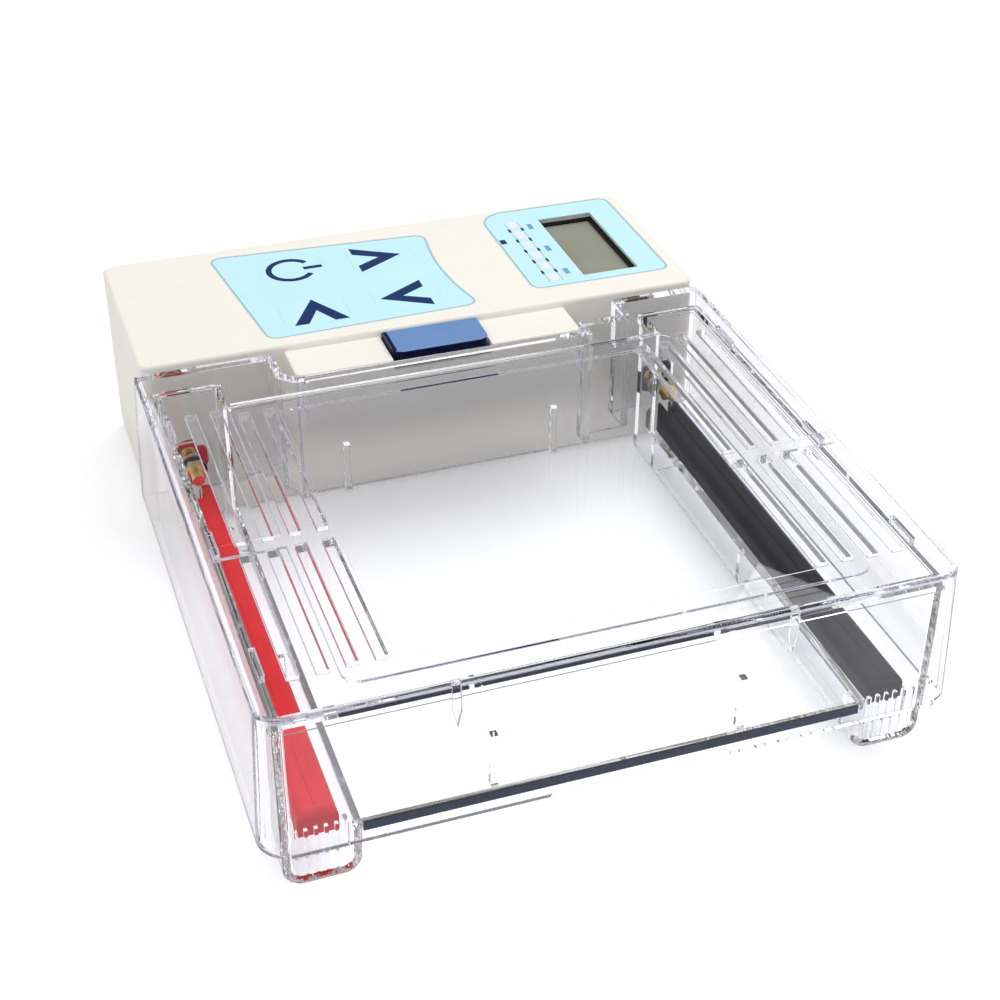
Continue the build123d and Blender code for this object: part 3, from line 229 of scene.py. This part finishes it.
# %% Solid finishes
finishes = {
    "cream_plastic": finish(
        "cream_plastic", (0.965, 0.93, 0.835), (0.945, 0.91, 0.815), 0.46, 2200.0, 0.03
    ),
    "light_blue_film": finish(
        "light_blue_film", (0.62, 0.95, 0.985), (0.59, 0.93, 0.97), 0.34, 900.0, 0.006
    ),
    "navy_ink": finish(
        "navy_ink", (0.004, 0.027, 0.130), (0.006, 0.032, 0.145), 0.45, 900.0, 0.004, Specular_IOR_Level=0.15
    ),
    # Painted shade: a near black navy for the tab's front, left side and left top edge, standing in for the
    # shade there.
    "tab_painted_shade": finish(
        "tab_painted_shade", (0.002, 0.004, 0.034), (0.003, 0.006, 0.042), 0.45, 1800.0, 0.01, Specular_IOR_Level=0.12
    ),
    "blue_ink": finish("blue_ink", (0.16, 0.34, 0.66), (0.19, 0.38, 0.70), 0.34, 900.0, 0.004),
    "grey_ink": finish("grey_ink", (0.36, 0.44, 0.52), (0.40, 0.48, 0.55), 0.36, 900.0, 0.004),
    "navy_strip": finish(
        "navy_strip", (0.014, 0.024, 0.060), (0.020, 0.032, 0.072), 0.45, Specular_IOR_Level=0.15
    ),
    "blue_tab": finish("blue_tab", (0.15, 0.29, 0.58), (0.13, 0.26, 0.54), 0.34, 1800.0, 0.012),
    "red_plastic": finish(
        "red_plastic", (0.78, 0.025, 0.030), (0.68, 0.016, 0.022), 0.40, Specular_IOR_Level=0.18
    ),
    "black_plastic": finish(
        "black_plastic", (0.010, 0.010, 0.013), (0.016, 0.015, 0.019), 0.48, Specular_IOR_Level=0.15
    ),
    "platinum": finish("platinum", (0.80, 0.79, 0.78), (0.72, 0.71, 0.70), 0.2, Metallic=1.0),
    "plated_brass": finish(
        "plated_brass", (0.83, 0.68, 0.36), (0.74, 0.60, 0.32), 0.24, 3000.0, Metallic=1.0
    ),
    "steel": finish("steel", (0.62, 0.62, 0.64), (0.52, 0.52, 0.55), 0.32, 3000.0, Metallic=1.0),
    "rubber": finish("rubber", (0.030, 0.030, 0.032), (0.045, 0.044, 0.044), 0.75, 1200.0, 0.05),
    "seal_rubber": finish("seal_rubber", (0.16, 0.16, 0.17), (0.20, 0.20, 0.20), 0.6),
    "lamp_white": finish("lamp_white", (0.90, 0.93, 0.95), (0.86, 0.90, 0.93), 0.3),
    "lamp_chip": finish("lamp_chip", (0.85, 0.80, 0.42), (0.80, 0.73, 0.36), 0.35),
    "screen_glass": finish("screen_glass", (0.30, 0.31, 0.23), (0.33, 0.34, 0.26), 0.12, Coat_Weight=0.6),
    "circuit_board": finish("circuit_board", (0.015, 0.16, 0.06), (0.02, 0.20, 0.075), 0.35, 400.0, 0.05),
    "ferrite": finish("ferrite", (0.045, 0.045, 0.05), (0.07, 0.068, 0.07), 0.65, 1800.0, 0.06),
    "copper_winding": finish("copper_winding", (0.62, 0.38, 0.06), (0.54, 0.32, 0.05), 0.38, 700.0, 0.04),
    "capacitor_sleeve": finish("capacitor_sleeve", (0.012, 0.02, 0.06), (0.02, 0.03, 0.08), 0.3),
    "aluminium": finish("aluminium", (0.70, 0.71, 0.73), (0.62, 0.63, 0.65), 0.36, 2400.0, Metallic=1.0),
    "fuse_glass": finish("fuse_glass", (0.75, 0.78, 0.78), (0.7, 0.73, 0.73), 0.15),
    "ribbon_grey": finish("ribbon_grey", (0.42, 0.43, 0.45), (0.36, 0.37, 0.39), 0.5, 1400.0, 0.04),
}
print(len(finishes), "solid finishes")


# %% [markdown]
# The tank and the lid are clear polycarbonate. Real light goes through them, so lamps have to
# reach what is inside. A Mix Shader lets shadow rays pass straight on, and everything else
# sees a Principled glass. The mould is polished, so the walls only drift a little in tint. The
# edges were trimmed and handled: they scatter some light, so they get grain and scratches.
# Their darker lavender colour is painted shade: it stands in for the lavender lines that light
# makes along the edges of clear plastic.

# %% Clear plastic
def clear_finish(name, colour, roughness, transmission=1.0):
    material = bpy.data.materials.new(name)
    material.use_nodes = True
    tree = material.node_tree
    glass = tree.nodes["Principled BSDF"]
    glass.inputs["Transmission Weight"].default_value = transmission
    glass.inputs["IOR"].default_value = 1.49
    glass.inputs["Specular Tint"].default_value = rgb(0.22, 0.22, 0.25)
    glass.inputs["Roughness"].default_value = roughness
    skin = add(tree, "ShaderNodeGroup", node_tree=grain)
    skin.inputs["Scale"].default_value = 260.0
    skin.inputs["Soft Scale"].default_value = 22.0
    tint = add(tree, "ShaderNodeMix", data_type="RGBA")
    tint.inputs["A"].default_value = rgb(*colour)
    tint.inputs["B"].default_value = rgb(*[min(value * 1.015, 1.0) for value in colour])
    join(tree, skin.outputs["Drift"], tint.inputs["Factor"])
    join(tree, tint.outputs["Result"], glass.inputs["Base Color"])
    if roughness:
        worn = add(tree, "ShaderNodeGroup", node_tree=marks)
        worn.inputs["Amount"].default_value = 0.5
        rough = add(tree, "ShaderNodeMath", operation="MULTIPLY_ADD")
        rough.inputs[1].default_value = 0.08
        rough.inputs[2].default_value = roughness
        join(tree, worn.outputs["Scratches"], rough.inputs[0])
        join(tree, rough.outputs[0], glass.inputs["Roughness"])
        bump = add(tree, "ShaderNodeBump", {"Strength": 0.15, "Distance": 0.02 * MM})
        join(tree, skin.outputs["Height"], bump.inputs["Height"])
        join(tree, bump.outputs["Normal"], glass.inputs["Normal"])
    path = add(tree, "ShaderNodeLightPath")
    through = add(tree, "ShaderNodeBsdfTransparent", {"Color": rgb(0.95, 0.955, 0.97)})
    mix = add(tree, "ShaderNodeMixShader")
    join(tree, path.outputs["Is Shadow Ray"], mix.inputs["Fac"])
    join(tree, glass.outputs["BSDF"], mix.inputs[1])
    join(tree, through.outputs["BSDF"], mix.inputs[2])
    join(tree, mix.outputs["Shader"], tree.nodes["Material Output"].inputs["Surface"])
    return material


finishes["clear_plastic"] = clear_finish("clear_plastic", (0.984, 0.986, 0.998), 0.0)
# Painted shade: the edge finish's darker lavender colour stands in for the lines that light makes along clear
# edges.
finishes["clear_edge_painted_shade"] = clear_finish("clear_edge_painted_shade", (0.74, 0.75, 0.92), 0.22, 0.4)


# %% [markdown]
# Each CAD node takes the finish of its material slot in the record.

# %% Dress the CAD nodes
slot_of = {entry["node"]: entry["material_slot"] for entry in frame["record"]["subparts"]}
body_of = {node: body for body, names in frame["record"]["behaviour"]["bodies"].items() for node in names}


def dress(thing, slot):
    thing.data.materials.clear()
    thing.data.materials.append(finishes[slot])


for name, node in frame["nodes"].items():
    dress(node, slot_of[name])
print("dressed", len(frame["nodes"]), "nodes")


# %% [markdown]
# A moulded edge is never razor sharp, and on clear plastic the rounded edge is what shows. The
# CAD mesh is loose triangles, so a copy is merged, its flat faces are joined, and a narrow bevel
# rounds the edges that the mould would round.

# %% Rounded copies of the moulded nodes
def plain_mesh(thing, name):
    """The evaluated shape of an object as a plain mesh."""
    shape = thing.evaluated_get(bpy.context.evaluated_depsgraph_get())
    mesh = bpy.data.meshes.new_from_object(shape)
    mesh.name = name
    return mesh


def moulded_copy(node, name, edge, segments=2, angle=32.0, change=None, edge_finish=None):
    """A merged copy of a CAD node with rounded edges, which replaces the node."""
    shell = bmesh.new()
    shell.from_mesh(frame["nodes"][node].data)
    bmesh.ops.remove_doubles(shell, verts=shell.verts, dist=0.002 * MM)
    bmesh.ops.dissolve_degenerate(shell, edges=shell.edges, dist=0.001 * MM)
    bmesh.ops.dissolve_limit(shell, angle_limit=math.radians(0.4), verts=shell.verts, edges=shell.edges)
    if change:
        change(shell)
    mesh = bpy.data.meshes.new(name)
    shell.to_mesh(mesh)
    shell.free()
    for layer in [a.name for a in mesh.attributes if a.name in ("custom_normal", "sharp_face", "sharp_edge")]:
        mesh.attributes.remove(mesh.attributes[layer])
    piece = bpy.data.objects.new(name, mesh)
    scene.collection.objects.link(piece)
    if edge:
        bevel = piece.modifiers.new("edge", "BEVEL")
        bevel.width = edge * MM
        bevel.segments = segments
        bevel.limit_method = "ANGLE"
        bevel.angle_limit = math.radians(angle)
        bevel.use_clamp_overlap = True
        bevel.material = 1 if edge_finish else -1
        piece.data.materials.clear()
        for title in (slot_of[node], edge_finish or slot_of[node]):
            piece.data.materials.append(finishes[title])
        rounded = plain_mesh(piece, name)
        piece.modifiers.remove(bevel)
        piece.data = rounded
    if edge_finish:
        piece.data.shade_flat()
    else:
        piece.data.shade_smooth()
        piece.data.set_sharp_from_angle(angle=math.radians(angle))
        flat = piece.modifiers.new("flat faces", "WEIGHTED_NORMAL")
        flat.mode = "FACE_AREA"
        flat.weight = 80
        flat.keep_sharp = True
        levelled = plain_mesh(piece, name)
        piece.modifiers.remove(flat)
        piece.data = levelled
        dress(piece, slot_of[node])
    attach(piece, body_of[node])
    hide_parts(node)
    print(name, len(piece.data.polygons), "faces")
    return piece


# The bevels of lid and tank get the edge finish, whose lavender colour is painted shade.
for node in ("lid", "tank"):
    moulded_copy(node, node + "_moulding", 0.32, edge_finish="clear_edge_painted_shade")
for node in ("upper_case", "lower_case"):
    moulded_copy(node, node + "_moulding", 0.3)
tab = moulded_copy("lid_latch", "lid_latch_moulding", 0.3)


# %% [markdown]
# The tab is blue on top. Its front and its left side get a near black navy: painted shade, standing in for
# the shade on those faces.

# %% Painted shade on the front and left side of the tab
tab.data.materials.append(finishes["tab_painted_shade"])
# Faces that point to the front or to the left get the painted shade.
shade_painted_faces = [face for face in tab.data.polygons if face.normal.y < -0.6 or face.normal.x < -0.6]
for face in shade_painted_faces:
    face.material_index = 1
print("dark faces of the tab:", len(shade_painted_faces))

# %% [markdown]
# A small coil spring under the tab's arm pushes it back up; it gets shorter as the tab is pressed.
# A merged copy of the CAD spring, with a mesh of its own, takes the place of the node.

# %% Return spring of the tab
spring = moulded_copy("latch_spring", "tab_return_spring", 0)
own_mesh(spring)


# %% [markdown]
# The keypad is one printed film with four keys behind it. The real key edges are faint, so the
# slit round each key almost closes. Film, keys and panel are copied a hair lower than the CAD
# solids, which leaves room for the ink to lie on them and stay inside the object's box.

# %% Printed film, keys and panel
ink_room = 0.04 * MM
key_growth = 0.11 * MM
keys = ("key_power", "key_raise", "key_select", "key_lower")


def lower_top(node, growth=0.0):
    """A change for moulded_copy: the top goes down by the room for ink, and the plan grows a little."""
    low, high = (Vector(corner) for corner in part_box(node))
    middle = (low + high) / 2

    def change(shell):
        for vertex in shell.verts:
            if vertex.co.z > high.z - 0.01 * MM:
                vertex.co.z -= ink_room
            for axis in (0, 1):
                reach = (high[axis] - low[axis]) / 2
                vertex.co[axis] += growth * (vertex.co[axis] - middle[axis]) / reach

    return change


for node in ("keypad_film", "display_panel"):
    moulded_copy(node, node + "_print_base", 0, change=lower_top(node))
for node in keys:
    moulded_copy(node, node + "_pad", 0, change=lower_top(node, key_growth))


# %% [markdown]
# Ink is modelled as a very thin plate on the film, so it moves with its key when the key is
# pressed. An outline is given as points in millimetres, in the plan of the object.

# %% Ink on the film
film_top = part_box("keypad_film")[1][2]
ink_top = film_top - 0.008 * MM
ink_low = film_top - ink_room - 0.02 * MM


def ink_and_shade_piece(name, outlines, body, ink, top_z=ink_top, low_z=ink_low):
    """Plates of ink, and the tab's band of painted shade, from closed outlines, joined in one piece that
    rides on a body.
    """
    shell = bmesh.new()
    for outline in outlines:
        top = [shell.verts.new((x * MM, y * MM, top_z)) for x, y in outline]
        low = [shell.verts.new((x * MM, y * MM, low_z)) for x, y in outline]
        shell.faces.new(top)
        shell.faces.new(low[::-1])
        for index in range(len(top)):
            after = (index + 1) % len(top)
            shell.faces.new((top[index], low[index], low[after], top[after]))
    bmesh.ops.recalc_face_normals(shell, faces=shell.faces)
    mesh = bpy.data.meshes.new(name)
    shell.to_mesh(mesh)
    shell.free()
    piece = bpy.data.objects.new(name, mesh)
    scene.collection.objects.link(piece)
    dress(piece, ink)
    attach(piece, body)
    print(name, len(mesh.polygons), "faces")
    return piece


def chevron(tip, heading):
    """An open arrow head: its point is at tip, and heading is the way it points, in degrees."""
    reach, half_spread, thickness, notch = 16.8, 9.6, 5.0, 8.2
    outline = [
        (0, 0), (-reach, half_spread), (-reach, half_spread - thickness), (-notch, 0),
        (-reach, thickness - half_spread), (-reach, -half_spread),
    ]
    turned = Matrix.Rotation(math.radians(heading), 2)
    return [tuple(Vector(tip) + turned @ Vector(point)) for point in outline]


def arc_band(centre, radius, stroke, start, stop, steps=40):
    """A bent stroke between two angles, as one closed outline."""
    angles = [math.radians(start + (stop - start) * index / steps) for index in range(steps + 1)]
    rings = []
    for reach, order in ((radius + stroke / 2, angles), (radius - stroke / 2, angles[::-1])):
        rings += [(centre[0] + reach * math.cos(a), centre[1] + reach * math.sin(a)) for a in order]
    return rings


def middle_of(node):
    """The middle of a node in plan, in millimetres."""
    low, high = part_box(node)
    return (low[0] + high[0]) / 2 / MM, (low[1] + high[1]) / 2 / MM


power_x, power_y = middle_of("key_power")
ring_gap = 34
ring = arc_band((power_x - 0.5, power_y), 7.7, 2.1, ring_gap, 360 - ring_gap)
bar_start, bar_end, bar_half = power_x + 4.2, power_x + 11.0, 1.0
bar = [(bar_start, power_y - bar_half), (bar_end, power_y - bar_half),
       (bar_end, power_y + bar_half), (bar_start, power_y + bar_half)]
ink_and_shade_piece("power_symbol", [ring, bar], body_of["key_power"], "navy_ink")
for node, shift_x, shift_y, heading in (
    ("key_raise", 7.2, 0.1, 0), ("key_lower", -9.2, 0.3, 180), ("key_select", 0.9, 7.6, 90)
):
    middle_x, middle_y = middle_of(node)
    arrow = chevron((middle_x + shift_x, middle_y + shift_y), heading)
    ink_and_shade_piece(node + "_symbol", [arrow], body_of[node], "navy_ink")

# The band along the left edge of the tab's top is not ink but painted shade: it stands in for the shade on
# the tab's left side.
tab_low, tab_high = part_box("lid_latch")
tab_left, tab_rear = tab_low[0] / MM, 51.4
edge_front, edge_width = tab_low[1] / MM + 1.9, 1.3
edge_left = tab_left + 0.3
edge_right = edge_left + edge_width
front_ends = [(edge_left, edge_front), (edge_right, edge_front - 0.6)]
tab_shade_band = front_ends + [(edge_right, tab_rear), (edge_left, tab_rear)]
edge_top, edge_low = tab_high[2] + 0.02 * MM, tab_high[2] - 0.05 * MM
ink_and_shade_piece("tab_shade_band", [tab_shade_band], body_of["lid_latch"], "tab_painted_shade", edge_top, edge_low)


# %% [markdown]
# A thin printed line runs round the keypad film and round the display panel. It follows the
# edge of the CAD solid, so the edge is read from the mesh and the line is drawn inside it.

# %% Printed border lines
def top_edge(node):
    """The outer edge of a node's top face, as points in order, in millimetres."""
    shell = bmesh.new()
    shell.from_mesh(frame["nodes"][node].data)
    bmesh.ops.remove_doubles(shell, verts=shell.verts, dist=0.002 * MM)
    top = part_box(node)[1][2] - 0.01 * MM
    level = {face for face in shell.faces if face.normal.z > 0.9 and face.calc_center_median().z > top}
    after = {}
    for face in level:
        for loop in face.loops:
            other = [near for near in loop.edge.link_faces if near is not face]
            if not other or other[0] not in level:
                after[loop.vert.index] = loop.link_loop_next.vert.index
    points = {vertex.index: (vertex.co.x / MM, vertex.co.y / MM) for vertex in shell.verts}
    shell.free()
    loops = []
    while after:
        start = next(iter(after))
        chain, here = [], start
        while here in after:
            chain.append(points[here])
            here = after.pop(here)
        loops.append(chain)
    return max(loops, key=lambda chain: max(p[0] for p in chain) - min(p[0] for p in chain))


def moved_in(chain, distance):
    """A closed outline moved inwards along the normals of its corners."""
    moved = []
    for index, point in enumerate(chain):
        before, behind = Vector(chain[index - 1]), Vector(chain[(index + 1) % len(chain)])
        along = (behind - before).normalized()
        moved.append(tuple(Vector(point) + distance * Vector((-along.y, along.x))))
    return moved


def border_line(node, inset, width):
    """A closed line inside the edge of a node, as short plates that touch."""
    chain = top_edge(node)
    outer, inner = moved_in(chain, inset), moved_in(chain, inset + width)
    plates = []
    for index in range(len(chain)):
        after = (index + 1) % len(chain)
        plates.append([outer[index], outer[after], inner[after], inner[index]])
    ink_and_shade_piece(node + "_border", plates, body_of[node], "grey_ink")


border_line("keypad_film", 0.25, 0.45)
border_line("display_panel", 0.25, 0.45)


# %% [markdown]
# The panel has rows of small printed marks beside its lamps. A row repeats one plate, so a
# Geometry Nodes tree makes it: a line of points, one bar on each, made real and given its ink.

# %% A Geometry Nodes tree for printed rows
row_tree = bpy.data.node_groups.new("printed row", "GeometryNodeTree")
row_inputs = {}
for title, kind in (
    ("Start", "NodeSocketVector"), ("Count", "NodeSocketInt"), ("Pitch", FLOAT),
    ("Size", "NodeSocketVector"), ("Ink", "NodeSocketMaterial"),
):
    row_inputs[title] = row_tree.interface.new_socket(title, in_out="INPUT", socket_type=kind).identifier
row_tree.interface.new_socket("Geometry", in_out="OUTPUT", socket_type="NodeSocketGeometry")
row_in, row_out = add(row_tree, "NodeGroupInput"), add(row_tree, "NodeGroupOutput")
step = add(row_tree, "ShaderNodeCombineXYZ")
spots = add(row_tree, "GeometryNodeMeshLine")
plate = add(row_tree, "GeometryNodeMeshCube")
copies = add(row_tree, "GeometryNodeInstanceOnPoints")
real = add(row_tree, "GeometryNodeRealizeInstances")
inked = add(row_tree, "GeometryNodeSetMaterial")
join(row_tree, row_in.outputs["Pitch"], step.inputs["Y"])
join(row_tree, row_in.outputs["Start"], spots.inputs["Start Location"])
join(row_tree, row_in.outputs["Count"], spots.inputs["Count"])
join(row_tree, step.outputs["Vector"], spots.inputs["Offset"])
join(row_tree, row_in.outputs["Size"], plate.inputs["Size"])
join(row_tree, spots.outputs["Mesh"], copies.inputs["Points"])
join(row_tree, plate.outputs["Mesh"], copies.inputs["Instance"])
join(row_tree, copies.outputs["Instances"], real.inputs["Geometry"])
join(row_tree, real.outputs["Geometry"], inked.inputs["Geometry"])
join(row_tree, row_in.outputs["Ink"], inked.inputs["Material"])
join(row_tree, inked.outputs["Geometry"], row_out.inputs["Geometry"])


def printed_row(name, x, first_y, count, pitch, size, ink):
    """A row of printed bars from front to rear on the panel. Lengths are in millimetres."""
    thickness = ink_top - ink_low
    carrier = bpy.data.objects.new(name, bpy.data.meshes.new(name + "_start"))
    scene.collection.objects.link(carrier)
    repeat = carrier.modifiers.new("row", "NODES")
    repeat.node_group = row_tree
    repeat[row_inputs["Start"]] = (x * MM, first_y * MM, (ink_top + ink_low) / 2)
    repeat[row_inputs["Count"]] = count
    repeat[row_inputs["Pitch"]] = pitch * MM
    repeat[row_inputs["Size"]] = (size[0] * MM, size[1] * MM, thickness)
    repeat[row_inputs["Ink"]] = finishes[ink]
    made = plain_mesh(carrier, name)
    carrier.modifiers.remove(repeat)
    carrier.data = made
    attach(carrier, body_of["display_panel"])
    print(name, len(made.polygons), "faces")


# %% Rows on the panel
lamps_low, lamps_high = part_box("lamp_lenses")
lamp_x = (lamps_low[0] + lamps_high[0]) / 2 / MM
lamp_pitch = 8.8
lamp_count = 6
lamp_length = (lamps_high[1] - lamps_low[1]) / MM - lamp_pitch * (lamp_count - 1)
gap_y = lamps_low[1] / MM + lamp_length / 2 + lamp_pitch / 2
line_offset, line_middle_y, line_length = 2.5, 92.0, 49.0
for side, label in ((-1, "left"), (1, "right")):
    line_x = lamp_x + side * line_offset
    printed_row("lamp_ticks_" + label, line_x, gap_y, lamp_count - 1, lamp_pitch, (0.9, 2.6), "navy_ink")
    printed_row("lamp_line_" + label, line_x, line_middle_y, 1, 1.0, (0.22, line_length), "grey_ink")
printed_row("panel_marks_right", lamp_x + 6.0, gap_y - 1.5, 3, 19.0, (1.8, 4.2), "blue_ink")
printed_row("panel_mark_left", lamp_x - 7.8, gap_y + 3.1 * lamp_pitch, 1, 1.0, (2.2, 3.4), "navy_ink")

# %% [markdown]
# The studio: a pale floor, a soft sky and two large soft boxes. The floor adds a little light of
# its own towards the camera, so that it photographs as white and still shows the shadow. Seen in
# a reflection, the upper sky is dim: a real studio is dark above the camera, which keeps a milky
# veil off the clear walls.

# %% Floor
floor_mesh = bpy.data.meshes.new("floor")
reach = 6.0
corners = [(-reach, -reach, 0), (reach, -reach, 0), (reach, reach, 0), (-reach, reach, 0)]
floor_mesh.from_pydata(corners, [], [(0, 1, 2, 3)])
floor = bpy.data.objects.new("floor", floor_mesh)
scene.collection.objects.link(floor)
floor.location.z = -0.0002
paper = bpy.data.materials.new("paper")
paper.use_nodes = True
tree = paper.node_tree
matte = tree.nodes["Principled BSDF"]
matte.inputs["Base Color"].default_value = rgb(0.90, 0.90, 0.91)
matte.inputs["Roughness"].default_value = 0.9
matte.inputs["Specular IOR Level"].default_value = 0.1
path = add(tree, "ShaderNodeLightPath")
seen = add(tree, "ShaderNodeMath", operation="MAXIMUM")
join(tree, path.outputs["Is Camera Ray"], seen.inputs[0])
join(tree, path.outputs["Is Transmission Ray"], seen.inputs[1])
glow = add(tree, "ShaderNodeEmission", {"Color": rgb(1.0, 1.0, 1.0)})
glow_level = add(tree, "ShaderNodeMath", operation="MULTIPLY")
glow_level.inputs[1].default_value = 0.30
join(tree, seen.outputs[0], glow_level.inputs[0])
join(tree, glow_level.outputs[0], glow.inputs["Strength"])
both = add(tree, "ShaderNodeAddShader")
join(tree, matte.outputs["BSDF"], both.inputs[0])
join(tree, glow.outputs["Emission"], both.inputs[1])
join(tree, both.outputs["Shader"], tree.nodes["Material Output"].inputs["Surface"])
floor_mesh.materials.append(paper)

# %% Sky
world = bpy.data.worlds.new("studio")
scene.world = world
world.use_nodes = True
tree = world.node_tree
sky = tree.nodes["Background"]
look = add(tree, "ShaderNodeTexCoord")
split = add(tree, "ShaderNodeSeparateXYZ")
ramp = add(tree, "ShaderNodeValToRGB")
join(tree, look.outputs["Generated"], split.inputs["Vector"])
join(tree, split.outputs["Z"], ramp.inputs["Fac"])
join(tree, ramp.outputs["Color"], sky.inputs["Color"])
stops = ramp.color_ramp.elements
stops[0].position, stops[0].color = 0.0, rgb(0.60, 0.59, 0.72)
stops[1].position, stops[1].color = 1.0, rgb(1.0, 1.0, 1.0)
for spot, tone in ((0.12, (0.72, 0.71, 0.83)), (0.35, (0.90, 0.90, 0.95)), (0.6, (0.98, 0.98, 1.0))):
    stop = stops.new(spot)
    stop.color = rgb(*tone)
path = add(tree, "ShaderNodeLightPath")
white = add(tree, "ShaderNodeBackground", {"Color": rgb(1.0, 1.0, 1.0), "Strength": 1.0})
mix = add(tree, "ShaderNodeMixShader")
join(tree, path.outputs["Is Camera Ray"], mix.inputs["Fac"])
join(tree, sky.outputs["Background"], mix.inputs[1])
join(tree, white.outputs["Background"], mix.inputs[2])
join(tree, mix.outputs["Shader"], tree.nodes["World Output"].inputs["Surface"])
sky_level, sky_mirrored = 0.62, 0.24
height_band = {"From Min": 0.18, "From Max": 0.45, "To Min": 1.0, "To Max": sky_mirrored}
above = add(tree, "ShaderNodeMapRange", height_band)
level = add(tree, "ShaderNodeMix", {"A": sky_level}, data_type="FLOAT")
join(tree, split.outputs["Z"], above.inputs["Value"])
join(tree, path.outputs["Is Glossy Ray"], level.inputs["Factor"])
join(tree, above.outputs["Result"], level.inputs["B"])
join(tree, level.outputs["Result"], sky.inputs["Strength"])


# %% Soft boxes
def soft_box(name, place, target, size, power):
    lamp = bpy.data.lights.new(name, "AREA")
    lamp.shape = "RECTANGLE"
    lamp.size, lamp.size_y = size
    lamp.energy = power
    thing = bpy.data.objects.new(name, lamp)
    scene.collection.objects.link(thing)
    aim = (Vector(target) - Vector(place)).to_track_quat("-Z", "Y")
    thing.matrix_world = Matrix.Translation(place) @ aim.to_matrix().to_4x4()
    return thing


soft_box("key_box", (0.55, 0.35, 1.15), (0, 0, 0.03), (0.9, 0.9), 7.4)
soft_box("fill_box", (-0.9, -0.5, 0.9), (0, 0, 0.03), (0.8, 0.8), 3.3)
